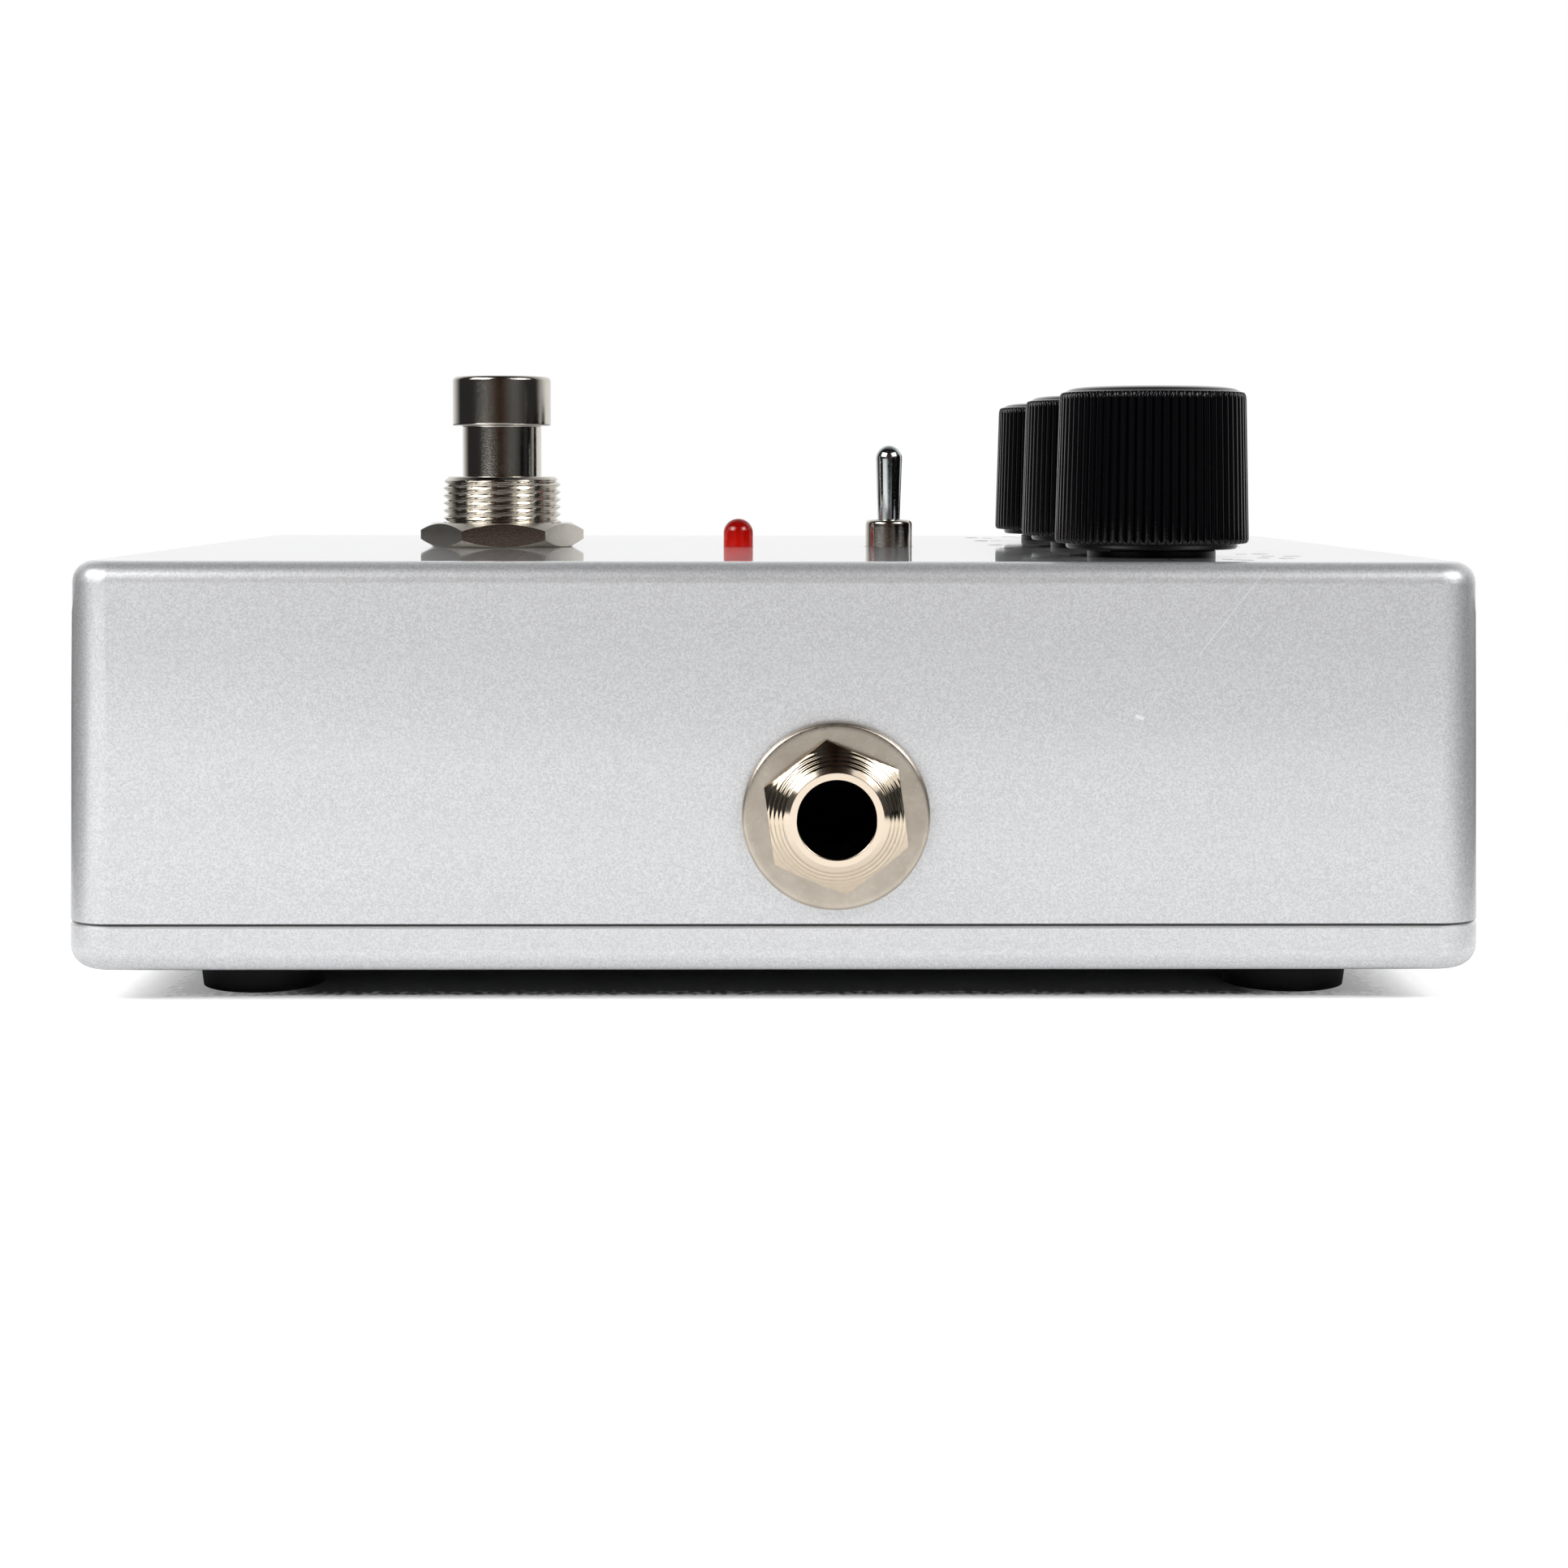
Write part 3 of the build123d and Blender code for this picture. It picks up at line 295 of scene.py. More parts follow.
# ---- Dials printed on the top --------------------------------------------------------------
# Eleven ticks and the numbers 0 to 10 round each knob, screen printed in black ink under the
# lacquer. The ink is matt and hardly thicker than the paint, and the lacquer over it shines.
ink_height = 0.012              # mm, thicker than real ink, so that it stands clear of the paint
tick_in, tick_out = 10.0, 11.1  # mm from the knob's axis
tick_width = 0.35
number_size, number_radius = 2.1, 12.6
sweep = 300.0                   # degrees from 0 to 10
top_z = box_of("enclosure")[1][2]
knob_joints = [joint for joint in frame["joints"] if joint["name"].startswith("knob")]
dial_centres = [[1000 * value for value in joint["pos_m"][:2]] for joint in knob_joints]

ink = mottled("black_screen_print_ink", 0.3, 2.0, ("#15161A", "#2A2B30"), 0.5,
              more={"Coat Weight": 1.0, "Coat Roughness": 0.04})


def slab(corners, low, high):
    """The eight points and six faces of a flat four-sided slab."""
    flat = np.array(corners, float)
    points = np.concatenate([np.c_[flat, np.full(4, low)], np.c_[flat, np.full(4, high)]])
    faces = np.array([(0, 3, 2, 1), (4, 5, 6, 7), (0, 1, 5, 4), (1, 2, 6, 5), (2, 3, 7, 6), (3, 0, 4, 7)])
    return points, faces


ink_points, ink_faces, ink_base = [], [], 0
for number in range(11):
    bearing = radians(90 + sweep / 2 - number * sweep / 10)
    text = bpy.data.curves.new(f"number_{number}", "FONT")
    text.body = str(number)
    text.size = number_size / 1000
    text.align_x, text.align_y = "CENTER", "CENTER"
    text.extrude = ink_height / 2000
    text.resolution_u = 3
    letter = bpy.data.objects.new(f"number_{number}", text)
    flat = bpy.data.meshes.new_from_object(letter)
    letter_points = np.zeros(len(flat.vertices) * 3)
    flat.vertices.foreach_get("co", letter_points)
    letter_points = letter_points.reshape(-1, 3) * 1000
    letter_faces = [list(face.vertices) for face in flat.polygons]
    bpy.data.objects.remove(letter)
    bpy.data.curves.remove(text)
    bpy.data.meshes.remove(flat)
    out = np.array([np.cos(bearing), np.sin(bearing)])
    side = np.array([-out[1], out[0]]) * tick_width / 2
    for x, y in dial_centres:
        middle = np.array([x, y])
        ends = [middle + out * tick_in - side, middle + out * tick_out - side,
                middle + out * tick_out + side, middle + out * tick_in + side]
        points, faces = slab(ends, top_z, top_z + ink_height)
        ink_points.append(points)
        ink_faces += (faces + ink_base).tolist()
        ink_base += len(points)
        ink_points.append(letter_points + [*(middle + out * number_radius), top_z + ink_height / 2])
        ink_faces += [[corner + ink_base for corner in face] for face in letter_faces]
        ink_base += len(letter_points)
print_mesh = bpy.data.meshes.new("dial_print")
print_mesh.from_pydata((np.concatenate(ink_points) / 1000).tolist(), [], ink_faces)
print_mesh.materials.append(ink)
dial_print = bpy.data.objects.new("dial_print", print_mesh)
bpy.context.scene.collection.objects.link(dial_print)
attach(dial_print, "box")

# ---- Potentiometers ------------------------------------------------------------------------
# Carbon-track potentiometers: a zinc die-cast bushing and shaft, a punched board of brown paper
# phenolic with the track, and tinned brass terminals soldered through the circuit board. Cast
# zinc is a dull grey, cloudy where the metal flowed.
cast_zinc = mottled("die_cast_zinc", 0.6, 5.0, ("#8F9092", "#C2C3C4"), (0.3, 0.5), metal=1.0)
coat_nodes(cast_zinc, "pot_bushings", "pot_shaft_left", "pot_shaft_center", "pot_shaft_right")

# Blackened steel is dark and softly shiny.
oxide = mottled("black_oxide_steel", 0.8, 4.0, ("#141416", "#2E2E30"), 0.4, metal=1.0)
coat_nodes(oxide, "pot_nuts", "pot_washers")

# The paper's fibres show through the resin as a fine brown mottle.
phenolic = mottled("paper_phenolic_board", 0.35, 6.0, ("#5E3517", "#9A6430"), 0.45)
coat_nodes(phenolic, "pot_wafers")

# Tin from a dip is pale, with smooth and dull patches.
tinned = mottled("tinned_brass", 0.5, 3.0, ("#B9B4A6", "#E4E1D8"), (0.18, 0.4), metal=1.0)
coat_nodes(tinned, "pot_pins", "led_leads", "toggle_pins", "chip_legs", "footswitch_lugs",
           "power_inlet_pins", "input_jack_contacts", "output_jack_contacts")

# ---- Knobs ---------------------------------------------------------------------------------
# Three push-on knobs of black moulded ABS. The grip has fine upright ribs, each ending under the
# rim in a small round arch, over a plain inset skirt. The top is flat inside a rounded shoulder
# and carries a white pointer line. Moulded black ABS has a satin, slightly bluish sheen.
ribs = 68
columns_per_rib = 12
rib_depth = 0.28
rib_power = 3.2                 # how square the ribs are in section
skirt_radius, skirt_height = 7.72, 0.42
foot_start, foot_height = 0.5, 0.45         # the ribs' lower ends
arch_start, arch_height = 13.1, 0.87        # and their upper ends
recess_radius, recess_depth = 6.3, 3.4
socket_radius, socket_top = 3.03, 11.0
shoulder = [(0.0, 0.62), (0.22, 0.40), (0.62, 0.17), (1.1, 0.06)]   # in from the grip, under the cap
grip_inset, grip_taper = 0.01, 0.35         # mm, inside the CAD's grip and narrower at the top
cap_sink = 0.06                 # the pointer stands this far above the cap
pointer_in, pointer_out, pointer_width = 2.2, 6.0, 0.9
pointer_root, pointer_edge = 0.08, 0.02     # how deep it is set in, and its bevel's height

abs_black = mottled("moulded_black_abs", 0.18, 3.0, ("#040406", "#08080B"), (0.09, 0.16),
                    dents=(0.008, 0.6), cloud=(4.0, 2.0), more={"IOR": 1.46, "Specular IOR Level": 0.3})

# The pointer's paint is a flat white.
pointer_paint = mottled("white_pointer_paint", 0.4, 2.0, ("#DCDCD8", "#F4F4F0"), 0.4)


def fluted(knob_height, bottom_radius, top_radius):
    """The grid of a knob whose grip has upright ribs.

    Across a rib the surface falls from the crest by the rib's depth times a power of the distance
    from its middle. Above the arch's start the rib's half width shrinks as a quarter ellipse, so
    that it ends in a round arch. Under the grip and over it the rows are plain circles.
    """
    columns = ribs * columns_per_rib
    angle = np.linspace(0, 2 * pi, columns, endpoint=False)
    across = 1 - 2 * np.abs((angle * ribs / (2 * pi)) % 1 - 0.5)      # 0 on a crest, 1 in a groove
    cap_height = knob_height - cap_sink
    arch_top = arch_start + arch_height
    under = outline([(0, socket_top), (socket_radius, socket_top), (socket_radius, recess_depth),
                     (recess_radius, recess_depth), (recess_radius, 0), (skirt_radius - 0.1, 0),
                     (skirt_radius, skirt_height), (bottom_radius - rib_depth, foot_start)],
                    [0, 0.1, 0.1, 0.2, 0.15, 0.2, 0.08, 0], 3)
    low = foot_start + foot_height * (1 - np.cos(np.linspace(0, pi / 2, 6)[1:]))
    body = np.linspace(foot_start + foot_height, arch_start, 6)[1:]
    high = arch_start + arch_height * np.sin(np.linspace(0, pi / 2, 14)[1:])
    height = np.concatenate([low, body, high])
    floor_radius = np.interp(height, [foot_start, arch_top], [bottom_radius, top_radius]) - rib_depth
    rise = np.clip((height - foot_start) / foot_height, 0, 1)
    fall = np.clip((height - arch_start) / arch_height, 0, 1)
    tall = np.sqrt(np.clip(1 - (1 - rise) ** 2, 0, 1)) * np.sqrt(np.clip(1 - fall ** 3, 0, 1))
    half = np.clip(np.sqrt(np.clip(1 - (1 - rise) ** 4, 0, 1) * np.clip(1 - fall ** 2, 0, 1)), 0.02, 1)
    crest = np.clip(1 - (across[None] / half[:, None]) ** rib_power, 0, 1)
    grip = floor_radius[:, None] + rib_depth * tall[:, None] * crest
    rim = [(floor_radius[-1] - inward, cap_height - down) for inward, down in shoulder]
    over = outline([(floor_radius[-1], height[-1]), *rim[1:], (rim[-1][0] - 0.5, cap_height),
                    (0, cap_height)], [0, 0.3, 0.5, 0.6, 0.6, 0], 3)[1:]
    plain = np.ones(columns)
    radius = np.concatenate([under[:, :1] * plain, grip, over[:, :1] * plain])
    level = np.concatenate([under[:, 1:] * plain, height[:, None] * plain, over[:, 1:] * plain])
    return np.stack([radius * np.cos(angle), radius * np.sin(angle), level], -1)


for side in ("left", "center", "right"):
    low, high = box_of(f"knob_{side}")
    middle = [(low[0] + high[0]) / 2, (low[1] + high[1]) / 2, low[2]]
    bottom_radius = (high[0] - low[0]) / 2 - grip_inset
    knob_height = high[2] - low[2]
    grid = fluted(knob_height, bottom_radius, bottom_radius - grip_taper) + middle
    surface(f"knob_{side}_fluted", [grid], f"knob_{side}_body", abs_black,
            [f"knob_{side}"], crease=70)
    half = pointer_width / 2
    rim = outline([(-half, pointer_in), (half, pointer_in), (half, pointer_out), (-half, pointer_out)],
                  0.2, 4, closed=True)
    levels = np.array([-pointer_root, cap_sink - pointer_edge, cap_sink])
    shrink = np.array([1.0, 1.0, 0.96])
    rim_middle = np.array([0, (pointer_in + pointer_out) / 2])
    grid = np.stack([np.c_[(rim - rim_middle) * factor + rim_middle, np.full(len(rim), level)]
                     for level, factor in zip(levels, shrink)])
    grid = grid + [middle[0], middle[1], high[2] - cap_sink]
    surface(f"knob_{side}_pointer", [grid], f"knob_{side}_body", pointer_paint)

# ---- Footswitch ----------------------------------------------------------------------------
# A latching footswitch: a turned brass plunger with a wide cap slides in a threaded bushing,
# held by a hexagon nut chamfered on both faces. All are nickel plated over barrelled brass, so
# they mirror the room with a warm tint, through tiny pits and turning marks.
nickel = mottled("bright_nickel_plate", 0.12, 2.0, ("#C9C3B9", "#D8D3CA"), (0.05, 0.16), metal=1.0,
                 span=(0.3, 0.75), dents=(0.007, 0.8), cloud=(2.5, 2.0))

turned_columns = 128
stem_radius, stem_clearance = 3.95, 0.08
flange_radius, flange_height = 4.5, 1.2
cap_height, cap_edge = 4.9, 0.42
thread_pitch, thread_depth, rows_per_thread = 0.75, 0.42, 16
crest_share, flank_share = 0.07, 0.82       # of half the thread's pitch
thread_end, thread_chamfer = 0.06, 0.55     # mm under the bushing's upper face
face_inset, bore_break = 0.62, 0.08         # that face's outer and inner edge
switch_nut_flats, nut_bevel, nut_bevel_in = 14.15, 0.75, 1.2
nut_gap = 0.03                  # mm between nut and thread
nut_corner, nut_columns_per_side = radians(36.2), 20

low, high = box_of("footswitch_plunger")
switch_place = ((low + high) / 2) * (1, 1, 0)
cap_radius = (high[0] - low[0]) / 2
cap_low = high[2] - cap_height
profile = outline([(0, low[2]), (flange_radius, low[2]), (flange_radius, low[2] + flange_height),
                   (stem_radius, low[2] + flange_height), (stem_radius, cap_low), (cap_radius, cap_low),
                   (cap_radius, high[2]), (0, high[2])], [0, 0.1, 0.1, 0.1, 0.12, 0.16, cap_edge, 0], 7)
surface("footswitch_plunger_turned", [turned(profile, turned_columns, switch_place)], "plunger_body",
        nickel, ["footswitch_plunger"])

bushing_low, bushing_high = box_of("footswitch_bushing")
bushing_top = bushing_high[2]
bushing_radius = (bushing_high[0] - bushing_low[0]) / 2
bore = stem_radius + stem_clearance
rows = int((bushing_top - bushing_low[2]) / thread_pitch * rows_per_thread)
height = np.linspace(bushing_low[2], bushing_top - thread_end, rows)[:, None]
angle = np.linspace(0, 2 * pi, turned_columns, endpoint=False)
round_once = np.ones((1, turned_columns))
phase = (height / thread_pitch - angle / (2 * pi)) % 1
groove = np.clip((np.abs(2 * phase - 1) - crest_share) / flank_share, 0, 1)
chamfer = np.clip(height - (bushing_top - thread_chamfer), 0, None)
radius = bushing_radius - np.maximum(thread_depth * groove, chamfer)
radius = np.concatenate([bore * round_once, radius, (bushing_radius - face_inset) * round_once,
                         (bore + bore_break) * round_once, bore * round_once])
ends = np.array([bushing_low[2], *height[:, 0], bushing_top, bushing_top, bushing_top - bore_break])
grid = np.stack([radius * np.cos(angle), radius * np.sin(angle), ends[:, None] + 0 * angle], -1)
surface("footswitch_bushing_threaded", [grid + switch_place], "box", nickel,
        ["footswitch_bushing"], ring=True)


def hexagon(flats, corner, per_side):
    """Angles round a nut, with one at each corner, and its distance from the axis at each:
    half the width across flats over the cosine of the angle from the middle of a flat."""
    angle = corner + np.linspace(0, 2 * pi, 6 * per_side, endpoint=False)
    return angle, flats / 2 / np.cos((angle - corner) % (pi / 3) - pi / 6)


nut_low, nut_high = box_of("footswitch_nut")
angle, flank = hexagon(switch_nut_flats, nut_corner, nut_columns_per_side)
bevel_radius = switch_nut_flats / sqrt(3) - nut_bevel_in
rise = (flank - bevel_radius) * nut_bevel / nut_bevel_in
thickness = nut_high[2] - nut_low[2]
flat = np.ones(len(angle))
thread = (bushing_radius + nut_gap) * flat
profile = [(thread, 0 * flat), (bevel_radius * flat, 0 * flat), (flank, rise),
           (flank, thickness - rise), (bevel_radius * flat, thickness * flat), (thread, thickness * flat)]
grid = np.stack([np.stack([r * np.cos(angle), r * np.sin(angle), z + nut_low[2]], -1) for r, z in profile])
surface("footswitch_nut_chamfered", [grid + switch_place], "box", nickel,
        ["footswitch_nut"], ring=True, crease=15)

# Moulded phenolic is a flat, even blue.
blue = mottled("moulded_blue_phenolic", 1.5, 4.0, ("#123A7C", "#1F56A8"), 0.38)
coat_nodes(blue, "footswitch_case", "toggle_case")

# ---- Status lamp ---------------------------------------------------------------------------
# A 3 mm light-emitting diode: red-tinted epoxy cast round its leads, with a domed end, over a
# white nylon spacer on the board. Cast epoxy is glossy and glows a little where light enters it.
lamp_radius, lamp_flange, flange_reach = 1.5, 1.0, 0.4
dome_radius = 1.46
lamp_lit_z, lamp_shaded_z = top_z + 0.2, top_z + 2.6      # mm, where the red is lightest and darkest: painted light low on the lamp, painted shade towards its dome

epoxy = material("cast_red_epoxy")
tree = epoxy.node_tree
place = add(tree, "TexCoord").outputs["Object"]
level = add(tree, "SeparateXYZ", {0: place}).outputs[2]
# The red runs from painted light low on the body to painted shade towards the dome.
depth = add(tree, "MapRange", {"Value": level, "From Min": lamp_lit_z / 1000, "From Max": lamp_shaded_z / 1000})
tone = add(tree, "MixRGB", {"Fac": depth, "Color1": srgb("#DC1408"), "Color2": srgb("#8C0A06")})
epoxy_shader = add(tree, "BsdfPrincipled", {
    "Base Color": tone, "Roughness": 0.05, "IOR": 1.54, "Subsurface Weight": 0.6,
    "Subsurface Radius": (0.004, 0.0006, 0.0004), "Subsurface Scale": 1.0})
add(tree, "OutputMaterial", {"Surface": epoxy_shader})
low, high = box_of("led_lamp")
lamp_place = ((low + high) / 2) * (1, 1, 0)
profile = outline([(0, low[2]), (lamp_radius + flange_reach, low[2]),
                   (lamp_radius + flange_reach, low[2] + lamp_flange),
                   (lamp_radius, low[2] + lamp_flange), (lamp_radius, high[2]), (0, high[2])],
                  [0, 0.1, 0.1, 0.05, dome_radius, 0], 14)
surface("led_lamp_cast", [turned(profile, 64, lamp_place)], "box", epoxy, ["led_lamp"])

# Nylon is a warm white that lets a little light in.
nylon = mottled("white_nylon", 2.0, 2.0, ("#DEDDD4", "#F0EFE8"), 0.45,
                more={"Subsurface Weight": 0.2, "Subsurface Radius": (0.002, 0.002, 0.0015)})
coat_nodes(nylon, "led_spacer")

# ---- Toggle switch -------------------------------------------------------------------------
# A sub-miniature toggle: a plain round collar, nickel plated, and a bat lever with mirror-bright
# chromium, both turned brass. The lever swells towards its tip and rocks in the collar's bore.
chrome = mottled("bright_chrome_plate", 0.3, 3.0, ("#C9CFD0", "#DEE3E3"), (0.04, 0.12), metal=1.0)

collar_bore, bore_depth = 1.72, 3.4         # mm, the bore's radius and its floor under the pivot
base_radius, tip_radius, ball_radius, tail_radius = 1.05, 1.325, 1.6, 0.55
tail_low, tail_high, bat_start = -2.85, -1.61, 1.7      # mm from the pivot

flip = next(joint for joint in frame["joints"] if joint["name"] == "toggle_flip")
pivot = np.array(flip["pos_m"]) * 1000
low, high = box_of("toggle_collar")
collar_radius, floor_z = (high[0] - low[0]) / 2, pivot[2] - bore_depth
profile = outline([(0, low[2]), (collar_radius, low[2]), (collar_radius, high[2]), (collar_bore, high[2]),
                   (collar_bore, floor_z), (0, floor_z)], [0, 0.1, 0.42, 0.12, 0.2, 0], 7)
surface("toggle_collar_turned", [turned(profile, 80, pivot * (1, 1, 0))], "box", nickel,
        ["toggle_collar"])

# The lever's radius at each height is the larger of tail, ball and bat, under the round tip.
lever_low, lever_high = box_of("toggle_lever")
tip = lever_high[2] - pivot[2] - tip_radius
height = np.concatenate([[lever_low[2] - pivot[2]], np.linspace(tail_low, tail_high, 4),
                         ball_radius * np.sin(np.linspace(-pi / 2, pi / 2, 28)[1:-1]),
                         np.linspace(bat_start, tip - 0.05, 24),
                         tip + tip_radius * np.sin(np.linspace(0, pi / 2, 18)[:-1])])
bat = np.where(height > 0, base_radius + (tip_radius - base_radius) * height / tip, 0)
ball = np.sqrt(np.clip(ball_radius ** 2 - height ** 2, 0, None))
end = np.sqrt(np.clip(tip_radius ** 2 - (height - tip) ** 2, 0, None))
radius = np.where(height > tip, end, np.maximum(np.maximum(bat, ball), tail_radius))
surface("toggle_lever_turned", [turned(np.c_[radius, height], 72, pivot)], "lever_body", chrome,
        ["toggle_lever"])

# ---- Jacks ---------------------------------------------------------------------------------
# Two quarter-inch jacks: a moulded housing inside, whose threaded sleeve comes out through the
# wall and is held by a plain washer and a hexagon nut with a coned face. Sleeve and nut are
# turned and nickel plated bright; the washer is punched and tumbled, so it is matt.
tumbled = mottled("tumbled_nickel_plate", 0.35, 5.0, ("#A89E90", "#D2C9BC"), (0.2, 0.42), metal=1.0,
                  dents=(0.01, 0.5), cloud=(2.2, 3.0))
turned_plate = mottled("turned_nickel_plate", 0.5, 3.0, ("#D2C2AC", "#DECFBA"), (0.05, 0.13), metal=1.0)

# The sleeve is nickel at its mouth, and a little way in its bore is painted dark: painted shade, as a deep
# bore looks.
bore_shade_in, bore_shade_out = 49.50, 49.55          # mm from the box's middle
bored = material("nickel_plated_sleeve")
tree = bored.node_tree
place = add(tree, "TexCoord").outputs["Object"]
away = add(tree, "VectorMath", {0: place}, operation="ABSOLUTE")
depth = add(tree, "SeparateXYZ", {0: away}).outputs[0]
plated = add(tree, "MapRange", {"Value": depth, "From Min": bore_shade_in / 1000, "From Max": bore_shade_out / 1000})
tone = add(tree, "MixRGB", {"Fac": plated, "Color1": srgb("#050505"), "Color2": srgb("#DACBB8")})
bored_shader = add(tree, "BsdfPrincipled", {"Base Color": tone, "Metallic": 1.0, "Roughness": 0.12})
add(tree, "OutputMaterial", {"Surface": bored_shader})

wall_lean = radians(1.0)
jack_columns = 144
washer_radius, washer_bore, washer_thickness = 7.9, 4.65, 0.9
thread_radius, bore_radius, face_radius, face_chamfer = 4.4, 3.3, 3.92, 0.24
nut_flats, nut_thickness, nut_rim, nut_mouth = 11.3, 1.72, 0.2, 4.38
nut_turn = radians(7.7)
groove_pitch, groove_depth = 0.34, 0.025    # mm, the turning tool's marks on the nut's cone
groove_outer, groove_run_out, groove_run_in = 6.3, 0.4, 0.15    # where the marks begin and end


def on_wall(grid, origin, side, lean=0.0):
    """Lays an upright grid on its side: its height runs out of the wall and its second axis up,
    turned back by the wall's lean."""
    out = np.array([side * np.cos(lean), 0, np.sin(lean)])
    across = np.array([0, side, 0])
    up = np.cross(out, across)
    return grid[..., :1] * across + grid[..., 1:2] * up + grid[..., 2:] * out + origin


for name, side in (("input", 1), ("output", -1)):
    low, high = box_of(f"{name}_jack_sleeve")
    middle = (low + high) / 2
    inner, outer = (low[0], high[0]) if side > 0 else (high[0], low[0])
    length = abs(outer - inner)
    profile = outline([(bore_radius, 0), (thread_radius, 0), (thread_radius, length - face_chamfer),
                       (face_radius, length), (bore_radius, length)], [0.1, 0.1, 0.03, 0.12, 0.1], 6,
                      closed=True)
    grid = on_wall(turned(profile, jack_columns), (inner, middle[1], middle[2]), side)
    surface(f"{name}_jack_sleeve_turned", [grid], "box", bored,
            [f"{name}_jack_sleeve"], ring=True)

    low, high = box_of(f"{name}_jack_washer")
    profile = outline([(washer_bore, 0), (washer_radius, 0), (washer_radius, washer_thickness),
                       (washer_bore, washer_thickness)], [0.08, 0.08, 0.38, 0.1], 8, closed=True)
    wall_at = (low if side > 0 else high)[0] + side * washer_radius * np.sin(wall_lean)
    grid = on_wall(turned(profile, jack_columns), (wall_at, middle[1], middle[2]), side, wall_lean)
    surface(f"{name}_jack_washer_punched", [grid], "box", tumbled,
            [f"{name}_jack_washer"], ring=True)

    low, high = box_of(f"{name}_jack_nut")
    seat = low[0] if side > 0 else high[0]
    angle, flank = hexagon(nut_flats, radians(90) + side * nut_turn, jack_columns // 6)
    corner_radius = nut_flats / sqrt(3)
    slope = (nut_thickness - nut_rim) / (corner_radius - nut_mouth)
    flat = np.ones(len(angle))
    share = np.linspace(0, 1, 90)[:, None]
    cone_radius = flank + (nut_mouth - flank) * share
    turning = (np.clip((groove_outer - cone_radius) / groove_run_out, 0, 1)
               * np.clip((cone_radius - nut_mouth) / groove_run_in, 0, 1))
    # The marks' depth wanders by up to three tenths round the cone and across it.
    uneven = 0.7 + 0.3 * np.sin(9.7 * cone_radius) * np.sin(2 * angle + 5.3 * cone_radius)
    cone_height = (nut_rim + (corner_radius - cone_radius) * slope
                   - turning * uneven * groove_depth * (1 - np.cos(2 * pi * cone_radius / groove_pitch)))
    radius = np.concatenate([[nut_mouth * flat, (flank - 0.15) * flat, flank], cone_radius])
    level = np.concatenate([[0 * flat, 0 * flat, 0.12 * flat], cone_height])
    grid = np.stack([radius * np.cos(angle), radius * np.sin(angle), level], -1)
    surface(f"{name}_jack_nut_coned", [on_wall(grid, (seat, middle[1], middle[2]), side)], "box",
            turned_plate, [f"{name}_jack_nut"], ring=True)

# Glass-filled nylon is a soft black with a fine grain.
black = mottled("black_glass_filled_nylon", 0.2, 3.0, ("#0B0B0C", "#1A1A1C"), 0.5, dents=(0.01, 0.6))
coat_nodes(black, "input_jack_housing", "output_jack_housing")

# ---- Power inlet ---------------------------------------------------------------------------
# A barrel inlet for a 5.5 by 2.1 mm plug: a black moulded body whose round nose shows through
# the end wall, with a nickel plated centre prong.
coat_nodes(black, "power_inlet_housing")
coat_nodes(nickel, "power_inlet_prong")

# ---- Circuit board and its components ------------------------------------------------------
# Glass-fibre laminate under green solder mask, with copper tracks that show through the mask as
# paler lines, and chips, capacitors and resistors on both faces.
track_pitch, track_step, track_width = 5.08, 2.54, 0.32     # mm
laminate = material("green_solder_mask")
tree = laminate.node_tree
place = add(tree, "TexCoord").outputs["Object"]
tracks = add(tree, "TexBrick", {"Vector": place, "Scale": 1000.0, "Brick Width": track_pitch,
                                "Row Height": track_step, "Mortar Size": track_width,
                                "Mortar Smooth": 0.0, "Color1": srgb("#0F5A2C"),
                                "Color2": srgb("#115F30"), "Mortar": srgb("#2C8A4C")})
laminate_shader = add(tree, "BsdfPrincipled", {"Base Color": tracks, "Roughness": 0.25, "Coat Weight": 0.3})
add(tree, "OutputMaterial", {"Surface": laminate_shader})
coat_nodes(laminate, "circuit_board")
coat_nodes(black, "amplifier_chips")

# A shrunk PVC sleeve is smooth and dark blue.
sleeve_film = mottled("blue_pvc_sleeve", 1.5, 2.0, ("#14204E", "#22326E"), 0.25)
coat_nodes(sleeve_film, "electrolytic_capacitors")

# Dipped epoxy is glossy, deeper red where it has sagged.
dipped = mottled("dipped_red_epoxy", 1.8, 2.0, ("#7E1A12", "#A42A1C"), 0.3)
coat_nodes(dipped, "film_capacitors")

# Blue lacquer with four colour rings over the ceramic, between the bare wire ends.
wire_end, lacquer = "#C9C6BC", "#8FB9C9"
body_start, body_end = 0.19, 0.81           # shares of the resistor's length
rings = ((0.28, 0.33, "#7A4A1E"), (0.40, 0.45, "#1A1A1A"), (0.52, 0.57, "#C23A1E"),
         (0.68, 0.73, "#7A4A1E"))
lacquered = material("lacquered_resistor_ceramic")
tree = lacquered.node_tree
place = add(tree, "TexCoord").outputs["Object"]
low, high = box_of("resistors")
ends = add(tree, "SeparateXYZ", {0: place})
across = add(tree, "MapRange", {"Value": ends.outputs[1], "From Min": low[1] / 1000,
                                "From Max": high[1] / 1000})
bands = add(tree, "ValToRGB", {0: across})
bands.color_ramp.interpolation = "CONSTANT"
ramp = bands.color_ramp.elements
ramp[0].color = srgb(wire_end)
ramp[1].position, ramp[1].color = body_start, srgb(lacquer)
for start, end, code in rings:
    ramp.new(start).color = srgb(code)
    ramp.new(end).color = srgb(lacquer)
ramp.new(body_end).color = srgb(wire_end)
resistor_shader = add(tree, "BsdfPrincipled", {"Base Color": bands, "Roughness": 0.3})
add(tree, "OutputMaterial", {"Surface": resistor_shader})
coat_nodes(lacquered, "resistors")

